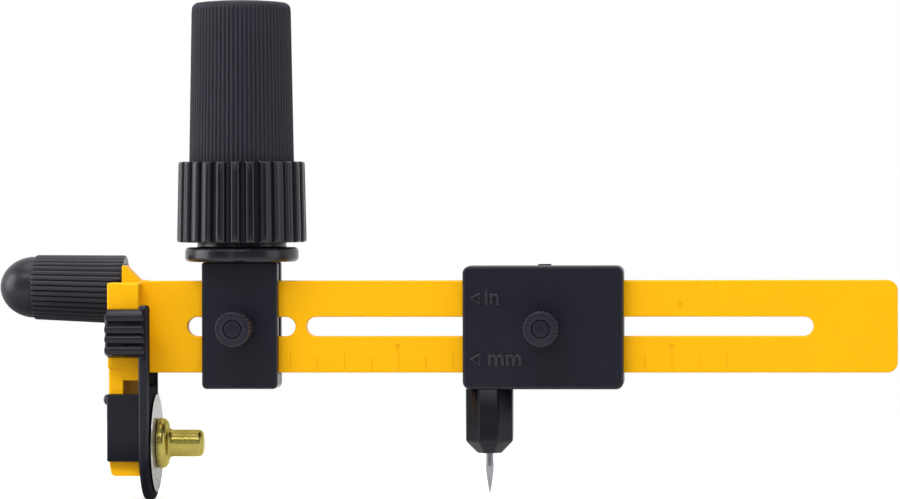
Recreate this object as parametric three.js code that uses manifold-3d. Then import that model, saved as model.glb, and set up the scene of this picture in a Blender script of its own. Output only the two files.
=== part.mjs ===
// Circle cutter with a ratchet grip: a slotted arm carries a round blade at one end, and a needle
// carriage and a grip slide along it. Millimetres, +Z up, +X along the arm away from the blade.
// X is zero in the blade's plane, Z on the arm's centre line and Y on the arm's back face.
// The front, where the scale and the thumb knobs are, faces -Y.

import * as THREE from 'three';
import { mergeVertices } from 'three/addons/utils/BufferGeometryUtils.js';
import Module from 'manifold-3d';

const wasm = await Module();
wasm.setup();

// Round stretches: sides of large, middle and small circles.
const largeSides = 40;
const middleSides = 24;
const smallSides = 16;
const arcSteps = 3;
const edgeSteps = 2;

// Clearances shared by mating pieces, and the overrun of every cut.
const slideGap = 0.15;
const seatGap = 0.1;
const restGap = 0.3;
const overrun = 1;

// Arm: a flat beam with two slots.
const armThickness = 3;
const armHeight = 16.85;
const armReach = 135.75;
const armCornerRadius = 1.9;
const slotHeight = 3.55;
const shortSlotStart = 5.8;
const shortSlotEnd = 25.72;
const longSlotStart = 27.7;
const slotMargin = 15.27;
const longSlotEnd = armReach - slotMargin;
const midY = -armThickness / 2;
const armTop = armHeight / 2;

// Scale: marks for the circle's diameter, read at the carriage's left edge. Each mark stands scaleOffset
// short of its radius, and the last ones end scaleMargin before the slot does.
const scaleOffset = 5.4;
const scaleMargin = 13;
const radiusPerCentimetre = 5;
const radiusPerInch = 12.7;
const quarters = 4;
const scaleEnd = longSlotEnd - scaleMargin + scaleOffset;
const firstCentimetre = 6;
const lastCentimetre = Math.floor(scaleEnd / radiusPerCentimetre);
const firstInchQuarters = 9;
const lastInchQuarters = Math.floor((scaleEnd / radiusPerInch) * quarters);
const tickWidth = 0.22;
const tickDepth = 0.12;
const tickInset = 0.45;
const tickShort = 2.4;
const tickLong = 3.45;
const tickQuarter = 1.05;
const tickHalf = 1.8;
const tickInch = 3.8;
const dotRadius = 0.5;
const centimetreDotEvery = 10;
const inchDotAt = 8;
const centimetreDotHeight = -3.65;
const inchDotHeight = 4;

// Blade, its stud and its nut, all on one axis under the arm.
const bladeRadius = 9;
const bladeThickness = 0.3;
const bladeBore = 2.55;
const bladeBevel = 0.7;
const bladeEdge = 0.06;
const bladeClearance = 13.025;
const bladeDrop = armTop + bladeClearance;
const studRadius = 1.5;
const shoulderRadius = 3.2;
const studInside = 5;
const studOutside = 6.6;
const nutFlangeRadius = 4.6;
const nutFlangeWidth = 1.86;
const nutStemRadius = 2.48;
const nutStart = 0.25;
const nutEnd = 8.6;
const nutFillet = 0.8;
const nutEdge = 0.9;
const nutCrownShare = 0.6;
const nutFloor = 1.1;
const spigotRadius = bladeBore - seatGap;

// Guard: a plate beside the blade that slides up to bare it.
const guardTravel = 2.4;
const guardRim = 1.5;
const guardRadius = bladeRadius + guardRim;
const guardPlate = 1.84;
const guardArcSteps = 12;
const guardGap = 0.2;
const guardRight = -bladeThickness / 2 - guardGap;
const guardLeft = guardRight - guardPlate;
const guardTopDrop = 4.245;
const guardTop = armTop - guardTopDrop;
const frontTine = 3.35;
const rearTine = 2.7;
const rearTineGap = 0.4;
const rearTineRise = 6.225;
const rearTineTop = rearTineRise - armTop;
const tineCorner = 0.6;
const collarWall = 1.5;
const collarDrop = 3.675;
const collarLength = 12.38;
const collarTop = -armTop - collarDrop;
const collarBottom = collarTop - collarLength;
const padWidth = 7.45;
const padOverhang = 0.5;
const padThickness = 4.4;
const padDrop = 0.68;
const padHeight = 9.03;
const padTop = guardTop - padDrop;
const padBottom = padTop - padHeight;
const padSlope = 0.75;
const padRidges = 4;
const padRidgeDepth = 0.7;

// Head of the arm: a block in front, a stem below it and a peg behind it.
const headWidth = 5.83;
const headRight = guardLeft - restGap;
const headLeft = headRight - headWidth;
const blockFront = 5.3;
const blockRear = 1.2;
const blockSink = 0.245;
const blockHeight = 4.95;
const blockTop = armTop - blockSink;
const blockBottom = blockTop - blockHeight;
const blockEdge = 0.35;
const stemFront = 4.3;
const stemRear = 2.7;
const stemTop = -2;
const stepFront = 4.8;
const stepRise = 0.885;
const stemStep = stepRise - armTop;
const stemInset = 0.13;
const stemUnderBlade = 5.75;
const stemBottom = -bladeDrop - stemUnderBlade;
const stemCorner = 0.9;
const stemDraft = 0.35;
const windowWidth = 3;
const windowDrop = 1.275;
const windowHeight = 6.3;
const windowTop = -armTop - windowDrop;
const windowBottom = windowTop - windowHeight;
const windowDepth = 1.8;
const stopPinRadius = 0.95;
const stopPinInside = 1.03;
const stopPinDrop = bladeDrop - bladeRadius + stopPinInside;
const stopPinHead = 0.75;
const stopPinStand = 1;

// Peg and gusset, and the cap that is stored on the peg.
const pegOffset = 5.5;
const pegSink = 1.575;
const pegHeight = armTop - pegSink;
const pegRadius = 4.3;
const pegLength = 12;
const pegBead = 0.25;
const pegBeadWidth = 0.8;
const pegRoot = 0.5;
const gussetLeft = -6.3;
const gussetFlat = 0.7;
const gussetThickness = 3.6;
const gussetRise = 2.825;
const gussetTop = armTop + gussetRise;
const capLength = 23.25;
const capDomeLength = 6.5;
const capDomeRadius = 5.68;
const capSleeveRadius = 5.98;
const capMouthRadius = 6.35;
const capBore = 4.85;
const capRibs = 36;
const capRibDepth = 0.28;
const capCrestShare = 0.2;
const capFlankShare = 0.25;
const capNeedleBore = 1.4;
const capNeedleDepth = 5.5;

// Grip holder: two plates that straddle the arm, and the flange that carries the grip.
const holderCentre = 15.76;
const holderWidth = 13.9;
const holderRise = 3.445;
const holderFall = 2.9;
const holderTop = armTop + holderRise;
const holderBottom = -armTop - holderFall;
const holderFrontPlate = 2.9;
const holderBackPlate = 2.4;
const holderEdge = 0.5;
const holderSill = 0.2;
const tongueWidth = 8;
const plateScrewRadius = 0.7;
const plateScrewHead = 1.1;
const plateScrewHeadHeight = 0.8;
const plateScrewInFront = 1.9;
const flangeRadius = 10.42;
const flangeThickness = 2.68;
const flangeEdge = 0.7;
const neckRadius = 8.2;
const neckHeight = 1.8;
const neckShown = 0.95;

// Thumb knobs with their clamp screws and captive nuts.
const knobRadius = 3.2;
const knobStand = 12.4;
const knobHead = 5;
const knobShank = 2.9;
const knobTeeth = 24;
const knobToothDepth = 0.16;
const knobChamfer = 0.3;
const knobCrestShare = 0.2;
const knobFlankShare = 0.3;
const insertRadius = 1.5;
const insertGroove = 0.14;
const insertDepth = 0.9;
const clampScrewRadius = 1.45;
const clampNutAcross = 5.5;
const clampNutThickness = 1.6;

// Needle carriage.
const needleReach = 61.3;
const readingOffset = 4.72;
const carriageWidth = 29.35;
const carriageRise = 2.685;
const carriageFall = 2.955;
const carriageTop = armTop + carriageRise;
const carriageBottom = -armTop - carriageFall;
const carriageFrontPlate = 2.95;
const carriageBackPlate = 2.65;
const carriageEdge = 0.75;
const carriageKnobShare = 0.502;
const carriageScrewInset = 3.1;
const carriageScrewShift = 12.4;
const clipWidth = 2.4;
const clipRise = 0.25;
const clipThickness = 1.4;
const needleHolderAcross = 8.6;
const needleHolderSides = 8;
const needleHolderLength = 11.82;
const needleHolderBottom = carriageBottom - needleHolderLength;
const needleHolderTip = 2.15;
const needleHolderChamfer = 2.25;
const needleSpigot = 1.3;
const needleSpigotHeight = 2;
const needleRadius = 0.66;
const needleWaist = 0.71;
const needleWaistHeight = 4.7;
const needleShown = 7.43;
const needleTip = needleHolderBottom - needleShown;
const needleInside = 9;

// Ratchet grip above the flange.
const spindleRadius = 2.5;
const spindleThread = 2;
const spindleHeight = 18.5;
const spindleTop = holderTop + spindleHeight;
const collarHeight = 14.8;
const toothedRadiusBottom = 11.91;
const toothedRadiusTop = 11.6;
const collarTeeth = 26;
const collarToothDepth = 0.85;
const collarEdge = 0.5;
const collarCrestShare = 0.3;
const collarFlankShare = 0.18;
const chamberRadius = 10;
const chamberDepth = 6.2;
const collarWeb = 2.6;
const coverThickness = 1.2;
const coverGap = 0.2;
const wheelRadius = 6.2;
const wheelRoot = 5.3;
const wheelTeeth = 24;
const wheelThickness = 3;
const wheelGap = 0.6;
const pawlPivotRadius = 8.8;
const pawlTipRadius = 6;
const pawlHub = 0.95;
const pawlTip = 0.25;
const pawlPin = 0.5;
const pawlThickness = 2.6;
const pawlTipTurn = -3.5;
const pawlPivotTurn = -26;
const pawlCount = 2;
const springRadius = 0.5;
const springWire = 0.14;
const springTurns = 4;
const springSteps = 32;
const wireSides = 5;
const springSeat = 0.85;
const springEnd = 3.2;
const springShare = 0.55;
const washerRadius = 4.2;
const washerThickness = 0.8;
const lockNutAcross = 7;
const lockNutHeight = 3.2;
const coreRadius = 7.9;
const coreWall = 1.6;
const coreFoot = 9.3;
const coreFootHeight = 1.4;
const gripHeight = 48.06;
const gripTop = holderTop + gripHeight;
const sleeveTopRadius = 9.08;
const sleeveBottomRadius = 9.67;
const sleeveWall = 1.1;
const sleeveCap = 2;
const sleeveRibs = 72;
const sleeveRibDepth = 0.2;
const sharpFlankShare = 0.5;
const sleeveEdge = 1.3;
const sleeveDome = 0.45;
const sleeveSeat = 2.6;

// Finishes.
const finish = (color, roughness, metalness) => new THREE.MeshStandardMaterial({
  color, roughness, metalness,
});
const yellowPlastic = finish('#f7b900', 0.45, 0);
const blackPlastic = finish('#2b2c33', 0.4, 0);
const glossBlack = finish('#202126', 0.25, 0);
const blackRubber = finish('#34353c', 0.8, 0);
const brass = finish('#a08c28', 0.3, 1);
const bladeSteel = finish('#d5d7da', 0.2, 1);
const turnedSteel = finish('#b4b6ba', 0.35, 1);

const cutter = new THREE.Group();

// A closed solid from a three.js geometry: shared vertices merged, collapsed triangles dropped.
function solidOf(geometry) {
  const plain = geometry.index ? geometry.toNonIndexed() : geometry.clone();
  plain.deleteAttribute('normal');
  plain.deleteAttribute('uv');
  const merged = mergeVertices(plain);
  const position = merged.getAttribute('position');
  const corners = [];
  let volume = 0;
  const [p, q, r] = [new THREE.Vector3(), new THREE.Vector3(), new THREE.Vector3()];
  for (let i = 0; i < merged.index.count; i += 3) {
    const [a, b, c] = [0, 1, 2].map((step) => merged.index.getX(i + step));
    if (a === b || b === c || c === a) continue;
    corners.push(a, b, c);
    p.fromBufferAttribute(position, a);
    q.fromBufferAttribute(position, b);
    r.fromBufferAttribute(position, c);
    volume += p.dot(q.cross(r));
  }
  if (volume < 0) corners.reverse();
  const mesh = new wasm.Mesh({
    numProp: 3,
    vertProperties: Float32Array.from(position.array),
    triVerts: Uint32Array.from(corners),
  });
  return new wasm.Manifold(mesh);
}

function addPiece(name, solid, material) {
  const { vertProperties, triVerts } = solid.getMesh();
  const geometry = new THREE.BufferGeometry();
  geometry.setAttribute('position', new THREE.BufferAttribute(vertProperties, 3));
  geometry.setIndex(new THREE.BufferAttribute(triVerts, 1));
  geometry.computeVertexNormals();
  const piece = new THREE.Mesh(geometry, material);
  piece.name = name;
  cutter.add(piece);
}

// Solids from extruded outlines. alongX takes an outline in (y, z), alongY in (x, z), alongZ in (x, y).
const extrude = (shape, depth, steps = arcSteps) => new THREE.ExtrudeGeometry(shape, {
  depth, bevelEnabled: false, curveSegments: steps,
});
const cyclic = new THREE.Matrix4().makeBasis(
  new THREE.Vector3(0, 1, 0), new THREE.Vector3(0, 0, 1), new THREE.Vector3(1, 0, 0),
);

function alongX(shape, from, to, steps) {
  return solidOf(extrude(shape, to - from, steps).applyMatrix4(cyclic).translate(from, 0, 0));
}

function alongY(shape, from, to) {
  return solidOf(extrude(shape, to - from).rotateX(Math.PI / 2).translate(0, to, 0));
}

function alongZ(shape, from, to) {
  return solidOf(extrude(shape, to - from).translate(0, 0, from));
}

function block(x0, x1, y0, y1, z0, z1) {
  const box = new THREE.BoxGeometry(x1 - x0, y1 - y0, z1 - z0);
  return solidOf(box.translate((x0 + x1) / 2, (y0 + y1) / 2, (z0 + z1) / 2));
}

// Solids of revolution from an outline of (radius, height) points, then laid on an axis.
function turned(outline, sides) {
  return new THREE.LatheGeometry(outline.map(([r, h]) => new THREE.Vector2(r, h)), sides);
}

const onX = (geometry, y, z) => solidOf(geometry.rotateZ(-Math.PI / 2).translate(0, y, z));
const onFront = (geometry, x, z) => solidOf(geometry.rotateX(Math.PI).translate(x, 0, z));
const onZ = (geometry, x, y) => solidOf(geometry.rotateX(Math.PI / 2).translate(x, y, 0));

// The outline of a plain rod, closed on its axis.
const rod = (radius, from, to) => [[0, from], [radius, from], [radius, to], [0, to]];

// Points on a round edge from one direction to another.
function quarter(centre, radius, fromTurn, toTurn, steps = arcSteps) {
  const points = [];
  for (let i = 0; i <= steps; i += 1) {
    const turn = fromTurn + ((toTurn - fromTurn) * i) / steps;
    points.push([centre[0] + radius * Math.cos(turn), centre[1] + radius * Math.sin(turn)]);
  }
  return points;
}

function roundedRectangle(x0, x1, z0, z1, radius) {
  const shape = new THREE.Shape();
  shape.moveTo(x0 + radius, z0);
  shape.absarc(x1 - radius, z0 + radius, radius, -Math.PI / 2, 0, false);
  shape.absarc(x1 - radius, z1 - radius, radius, 0, Math.PI / 2, false);
  shape.absarc(x0 + radius, z1 - radius, radius, Math.PI / 2, Math.PI, false);
  shape.absarc(x0 + radius, z0 + radius, radius, Math.PI, Math.PI * 1.5, false);
  return shape;
}

// A slot with round ends between two end points of its overall length.
function slot(start, end, height) {
  const path = new THREE.Path();
  const radius = height / 2;
  path.absarc(start + radius, 0, radius, Math.PI / 2, Math.PI * 1.5, false);
  path.absarc(end - radius, 0, radius, -Math.PI / 2, Math.PI / 2, false);
  return path;
}

// An upright slot for a pin that moves down in it by the guard's travel.
function uprightSlot(y, z, radius, travel) {
  const path = new THREE.Path();
  path.absarc(y, z, radius, 0, Math.PI, false);
  path.absarc(y, z - travel, radius, Math.PI, Math.PI * 2, false);
  return path;
}

const degrees = THREE.MathUtils.degToRad;
const polar = (radius, turn) => new THREE.Vector2(radius * Math.cos(turn), radius * Math.sin(turn));

// A toothed ring outline: each tooth has a flat or pointed crest over crestShare of its pitch.
function toothed(count, root, tip, crestShare, flankShare) {
  const shape = new THREE.Shape();
  for (let i = 0; i < count; i += 1) {
    const pitch = (Math.PI * 2) / count;
    const start = pitch * i;
    const crestEnd = flankShare + crestShare;
    const turns = [[root, 0], [tip, flankShare], [tip, crestEnd], [root, crestEnd + flankShare]];
    turns.forEach(([radius, share], step) => {
      if (step === 2 && crestShare === 0) return;
      const turn = start + pitch * share;
      const point = [radius * Math.cos(turn), radius * Math.sin(turn)];
      if (i === 0 && step === 0) shape.moveTo(...point);
      else shape.lineTo(...point);
    });
  }
  shape.closePath();
  return shape;
}

// Scales a prism about its own axis, evenly from one end's factor to the other's.
function tapered(geometry, from, fromFactor, to, toFactor) {
  const position = geometry.getAttribute('position');
  for (let i = 0; i < position.count; i += 1) {
    const along = (position.getZ(i) - from) / (to - from);
    const factor = fromFactor + (toFactor - fromFactor) * along;
    position.setX(i, position.getX(i) * factor);
    position.setY(i, position.getY(i) * factor);
  }
  return geometry;
}

function hexagon(across) {
  const corner = across / 2 / Math.cos(Math.PI / 6);
  const shape = new THREE.Shape();
  shape.setFromPoints(Array.from({ length: 6 }, (_, i) => polar(corner, (Math.PI * i) / 3)));
  return shape;
}

// Arm

function tickMarks() {
  const front = -armThickness;
  const marks = [];
  const mark = (x, edge, length) => {
    const near = edge * (armTop - tickInset);
    const far = near - edge * length;
    const [low, high] = [Math.min(near, far), Math.max(near, far)];
    marks.push(block(x - tickWidth / 2, x + tickWidth / 2, front - overrun, front + tickDepth, low, high));
  };
  const dot = (x, z) => {
    const pit = turned(rod(dotRadius, -front - tickDepth, overrun - front), smallSides);
    marks.push(onFront(pit, x, z));
  };
  for (let d = firstCentimetre; d <= lastCentimetre; d += 1) {
    const x = d * radiusPerCentimetre - scaleOffset;
    mark(x, -1, d % 2 ? tickShort : tickLong);
    if (d % centimetreDotEvery === 0) dot(x, centimetreDotHeight);
  }
  for (let q = firstInchQuarters; q <= lastInchQuarters; q += 1) {
    const x = (q / quarters) * radiusPerInch - scaleOffset;
    const lengths = [tickInch, tickQuarter, tickHalf, tickQuarter];
    mark(x, 1, lengths[q % quarters]);
    if (q === inchDotAt * quarters) dot(x, inchDotHeight);
  }
  return marks;
}

function makeArm() {
  const beam = new THREE.Shape();
  beam.moveTo(headRight - headWidth / 2, -armTop);
  beam.lineTo(armReach - armCornerRadius, -armTop);
  beam.absarc(armReach - armCornerRadius, -armTop + armCornerRadius, armCornerRadius, -Math.PI / 2, 0, false);
  beam.absarc(armReach - armCornerRadius, armTop - armCornerRadius, armCornerRadius, 0, Math.PI / 2, false);
  beam.lineTo(headRight - headWidth / 2, armTop);
  beam.closePath();
  beam.holes.push(slot(shortSlotStart, shortSlotEnd, slotHeight));
  beam.holes.push(slot(longSlotStart, longSlotEnd, slotHeight));
  let arm = alongY(beam, -armThickness, 0);

  // Top block in front, and the step under it that joins the stem.
  const blockY = -armThickness - blockFront;
  arm = arm.add(alongZ(roundedRectangle(headLeft, headRight, blockY, midY - blockRear, blockEdge),
    blockBottom, blockTop));
  const stemY = -armThickness - stemFront;
  const stepY = -armThickness - stepFront;
  arm = arm.add(block(headLeft, headRight, stepY, midY - blockRear, stemStep, blockBottom));

  // Stem: cut away on its left below the step, with a round corner at its foot.
  const stemLeft = headLeft + stemInset;
  const foot = new THREE.Shape();
  foot.moveTo(headRight, stemBottom);
  foot.lineTo(headRight, stemTop);
  foot.lineTo(stemLeft, stemTop);
  foot.lineTo(stemLeft, collarBottom);
  const footCorner = stemLeft + stemDraft + stemCorner;
  foot.lineTo(stemLeft + stemDraft, stemBottom + stemCorner);
  foot.absarc(footCorner, stemBottom + stemCorner, stemCorner, Math.PI, Math.PI * 1.5, false);
  foot.closePath();
  arm = arm.add(alongY(foot, stemY, stemRear));
  arm = arm.subtract(block(headRight - windowWidth, headRight + overrun, stemY - overrun, stemY + windowDepth,
    windowBottom, windowTop));

  // Bores for the blade stud and the stop pin.
  const boreEnd = headRight - studInside - seatGap;
  const studBore = turned(rod(studRadius + seatGap, boreEnd, headRight + overrun), middleSides);
  arm = arm.subtract(onX(studBore, midY, -bladeDrop));
  const pinBore = turned(rod(stopPinRadius + seatGap, headLeft - overrun, headRight + overrun),
    smallSides);
  arm = arm.subtract(onX(pinBore, midY, -stopPinDrop));

  // Thin gusset above a thick root, and the peg that stands out from both.
  const slopeEnd = gussetLeft + gussetFlat + gussetTop - armTop;
  const gusset = new THREE.Shape();
  gusset.moveTo(gussetLeft, pegHeight - pegRadius);
  gusset.lineTo(headRight, pegHeight - pegRadius);
  gusset.lineTo(headRight, armTop - (headRight - slopeEnd));
  gusset.lineTo(gussetLeft + gussetFlat, gussetTop);
  gusset.lineTo(gussetLeft, gussetTop);
  gusset.closePath();
  arm = arm.add(alongY(gusset, -armThickness, gussetThickness - armThickness));
  arm = arm.add(block(gussetLeft, headRight, -armThickness, midY + pegOffset + pegRadius,
    pegHeight - pegRadius, armTop));
  const tip = gussetLeft - pegLength;
  const peg = [
    [0, tip], [pegRadius - pegBead, tip], [pegRadius, tip + pegBeadWidth],
    [pegRadius + pegBead, tip + pegBeadWidth * 2], [pegRadius, tip + pegBeadWidth * 3],
    [pegRadius, gussetLeft + pegRoot], [0, gussetLeft + pegRoot],
  ];
  arm = arm.add(onX(turned(peg, middleSides), midY + pegOffset, pegHeight));

  for (const mark of tickMarks()) arm = arm.subtract(mark);
  addPiece('arm', arm, yellowPlastic);
}

// Blade head

function makeGuard() {
  const front = midY - guardRadius;
  const rearInside = rearTineGap;
  const rearOutside = rearInside + rearTine;
  const crotch = -armTop - guardTravel - slideGap;
  const climb = Math.acos((rearOutside - midY) / guardRadius);
  const plate = new THREE.Shape();
  plate.moveTo(front, -bladeDrop);
  plate.absarc(midY, -bladeDrop, guardRadius, Math.PI, Math.PI * 2 + climb, false);
  plate.lineTo(rearOutside, rearTineTop);
  plate.lineTo(rearInside, rearTineTop);
  plate.lineTo(rearInside, crotch);
  plate.lineTo(front + frontTine, crotch);
  plate.lineTo(front + frontTine, guardTop);
  plate.absarc(front + tineCorner, guardTop - tineCorner, tineCorner, Math.PI / 2, Math.PI, false);
  plate.closePath();
  plate.holes.push(uprightSlot(midY, -bladeDrop, shoulderRadius + slideGap, guardTravel));
  plate.holes.push(uprightSlot(midY, -stopPinDrop, stopPinRadius + slideGap, guardTravel));
  let guard = alongX(plate, guardLeft, guardRight, guardArcSteps);

  // Collar walls in front of the stem and behind it.
  const wallFront = -armThickness - stemFront - restGap;
  const wallBack = stemRear + restGap;
  const join = guardLeft + guardPlate / 2;
  guard = guard.add(block(headLeft, join, wallFront - collarWall, wallFront, collarBottom, collarTop));
  guard = guard.add(block(headLeft, join, wallBack, wallBack + collarWall, collarBottom, collarTop));

  // Thumb pad with round ridges across it.
  const padRight = guardRight - padOverhang;
  const padBack = -armThickness - blockFront - restGap;
  const padFront = padBack - padThickness;
  const pad = new THREE.Shape();
  pad.moveTo(padBack, padBottom);
  pad.lineTo(padBack, padTop);
  pad.lineTo(padFront + padRidgeDepth, padTop - padSlope);
  const pitch = (padTop - padBottom - padSlope * 2) / padRidges;
  for (let i = 0; i < padRidges; i += 1) {
    const top = padTop - padSlope - pitch * i;
    for (let step = 1; step <= arcSteps; step += 1) {
      const swell = Math.sin((Math.PI * step) / (arcSteps + 1));
      pad.lineTo(padFront + padRidgeDepth * (1 - swell), top - (pitch * step) / (arcSteps + 1));
    }
    pad.lineTo(padFront + padRidgeDepth, top - pitch);
  }
  pad.closePath();
  guard = guard.add(alongX(pad, padRight - padWidth, padRight));
  addPiece('blade_guard', guard, blackPlastic);
}

function makeStopPin() {
  const face = headLeft + stemInset;
  const domeStart = face - stopPinStand;
  const dome = quarter([0, 0], 1, -Math.PI / 2, 0).map(([r, h]) => [
    r * (stopPinRadius + seatGap), domeStart + h * stopPinHead,
  ]);
  dome[0][0] = 0;
  const pin = [
    ...dome, [stopPinRadius + seatGap, face - seatGap], [stopPinRadius, face - seatGap],
    [stopPinRadius, guardRight - guardPlate / 4], [0, guardRight - guardPlate / 4],
  ];
  addPiece('guard_stop_pin', onX(turned(pin, smallSides), midY, -stopPinDrop), glossBlack);
}

function makeStud() {
  const stud = [
    [0, headRight - studInside], [studRadius, headRight - studInside], [studRadius, headRight + seatGap],
    [shoulderRadius, headRight + seatGap], [shoulderRadius, guardRight + seatGap],
    [studRadius, guardRight + seatGap], [studRadius, studOutside], [0, studOutside],
  ];
  addPiece('blade_stud', onX(turned(stud, middleSides), midY, -bladeDrop), turnedSteel);
}

function makeBlade() {
  const half = bladeThickness / 2;
  const blade = [
    [bladeBore, -half], [bladeRadius - bladeBevel, -half], [bladeRadius, -bladeEdge / 2],
    [bladeRadius, bladeEdge / 2], [bladeRadius - bladeBevel, half], [bladeBore, half], [bladeBore, -half],
  ];
  addPiece('blade', onX(turned(blade, largeSides), midY, -bladeDrop), bladeSteel);
}

function makeBladeNut() {
  const flangeEnd = nutStart + nutFlangeWidth;
  const bore = studRadius + slideGap;
  const edge = nutFlangeWidth * nutCrownShare;
  const crown = quarter([nutFlangeRadius - edge, flangeEnd - edge], edge, 0, Math.PI / 2);
  const filletCentre = [nutStemRadius + nutFillet, flangeEnd + nutFillet];
  const fillet = quarter(filletCentre, nutFillet, -Math.PI / 2, -Math.PI);
  const end = quarter([nutStemRadius - nutEdge, nutEnd - nutEdge], nutEdge, 0, Math.PI / 2);
  const nut = [
    [bore, -bladeThickness / 2], [spigotRadius, -bladeThickness / 2], [spigotRadius, nutStart],
    [nutFlangeRadius - seatGap, nutStart], [nutFlangeRadius, nutStart + seatGap],
    ...crown, ...fillet, ...end, [0, nutEnd], [0, nutEnd - nutFloor], [bore, nutEnd - nutFloor],
    [bore, -bladeThickness / 2],
  ];
  addPiece('blade_nut', onX(turned(nut, middleSides), midY, -bladeDrop), brass);
}

function makeNeedleCap() {
  const mouth = gussetLeft - restGap;
  const end = mouth - capLength;
  const shoulder = end + capDomeLength;
  const ribRing = toothed(capRibs, 1 - capRibDepth / capMouthRadius, 1, capCrestShare, capFlankShare);
  const prism = extrude(ribRing, mouth - shoulder);
  const ribbed = solidOf(tapered(prism, 0, capSleeveRadius, mouth - shoulder, capMouthRadius)
    .applyMatrix4(cyclic).translate(shoulder, midY + pegOffset, pegHeight));
  const dome = quarter([0, 0], 1, -Math.PI / 2, 0).map(([r, h]) => [
    r * capDomeRadius, shoulder + h * capDomeLength,
  ]);
  dome[0][0] = 0;
  const body = [...dome, [capDomeRadius, shoulder + capRibDepth], [0, shoulder + capRibDepth]];
  let cap = ribbed.add(onX(turned(body, middleSides), midY + pegOffset, pegHeight));
  const floor = gussetLeft - pegLength - restGap;
  const bore = [
    [0, floor - capNeedleDepth], [capNeedleBore, floor - capNeedleDepth], [capNeedleBore, floor],
    [capBore, floor], [capBore, mouth + overrun], [0, mouth + overrun],
  ];
  cap = cap.subtract(onX(turned(bore, middleSides), midY + pegOffset, pegHeight));
  addPiece('needle_cap', cap, blackPlastic);
}

// Thumb knobs, clamp screws, captive nuts

const plateFront = -armThickness - slideGap;
const plateBack = slideGap;

function makeClamp(prefix, x, face, backPlate) {
  // Heights here run forwards, so a piece's height is minus its Y.
  const base = -face + seatGap;
  const top = -face + knobStand;
  const headBase = top - knobHead;
  const head = extrude(toothed(knobTeeth, knobRadius - knobToothDepth, knobRadius, knobCrestShare,
    knobFlankShare), knobHead)
    .rotateX(Math.PI / 2).translate(x, -headBase, 0);
  const envelope = [
    [0, headBase], [knobRadius - knobChamfer, headBase],
    [knobRadius + knobChamfer, headBase + knobChamfer * 2], [knobRadius + knobChamfer, top - knobChamfer * 2],
    [knobRadius - knobChamfer, top], [0, top],
  ];
  const shank = onFront(turned(rod(knobShank, base, headBase + knobChamfer), middleSides), x, 0);
  let knob = solidOf(head).intersect(onFront(turned(envelope, middleSides), x, 0)).add(shank);
  const recess = turned(rod(insertRadius + insertGroove, top - insertDepth, top + overrun), smallSides);
  const screwTop = top - insertDepth - overrun;
  const screwBore = turned(rod(clampScrewRadius + seatGap, base - overrun, screwTop + seatGap), smallSides);
  knob = knob.subtract(onFront(recess, x, 0)).subtract(onFront(screwBore, x, 0));
  addPiece(`${prefix}_knob`, knob, blackPlastic);
  const insert = turned(rod(insertRadius, top - insertDepth + seatGap / 2, top), smallSides);
  addPiece(`${prefix}_knob_insert`, onFront(insert, x, 0), glossBlack);
  const screwEnd = -(plateBack + backPlate - seatGap);
  const screw = turned(rod(clampScrewRadius, screwEnd, screwTop), smallSides);
  addPiece(`${prefix}_clamp_screw`, onFront(screw, x, 0), turnedSteel);
  const nutBase = -(plateBack + backPlate);
  const nutHole = turned(rod(clampScrewRadius + seatGap, nutBase - overrun, 0), smallSides);
  const nutOuter = extrude(hexagon(clampNutAcross), clampNutThickness)
    .rotateX(Math.PI / 2).translate(x, -nutBase, 0);
  addPiece(`${prefix}_clamp_nut`, solidOf(nutOuter).subtract(onFront(nutHole, x, 0)), brass);
}

function clampHole(x, face, backPlate) {
  return onFront(turned(rod(clampScrewRadius + slideGap, -(plateBack + backPlate) - overrun, -face + overrun),
    smallSides), x, 0);
}

function nutPocket(x, backPlate) {
  const pocket = extrude(hexagon(clampNutAcross + slideGap * 2), clampNutThickness + seatGap + overrun)
    .rotateX(Math.PI / 2).translate(x, plateBack + backPlate + overrun, 0);
  return solidOf(pocket);
}

// A pan-head screw driven from the back: its shank runs forwards from the head's seat.
function plateScrew(x, z, back, front) {
  const seat = -(back - plateScrewHeadHeight);
  return onFront(turned([
    [0, seat - plateScrewHeadHeight], [plateScrewHead, seat - plateScrewHeadHeight], [plateScrewHead, seat],
    [plateScrewRadius, seat], [plateScrewRadius, -front], [0, -front],
  ], smallSides), x, z);
}

function plateScrewHole(x, z, back, front) {
  const seat = -(back - plateScrewHeadHeight) + seatGap;
  const bore = plateScrewRadius + seatGap;
  const sink = plateScrewHead + seatGap;
  const mouth = seat - plateScrewHeadHeight - overrun;
  return onFront(turned([
    [0, mouth], [sink, mouth], [sink, seat], [bore, seat], [bore, -front + seatGap], [0, -front + seatGap],
  ], smallSides), x, z);
}

// Grip holder

const holderLeft = holderCentre - holderWidth / 2;
const holderRight = holderCentre + holderWidth / 2;
const holderFace = plateFront - holderFrontPlate;
const holderRear = plateBack + holderBackPlate;
const holderScrewHeights = [(armTop + holderTop) / 2, (holderBottom - armTop) / 2];

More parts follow.
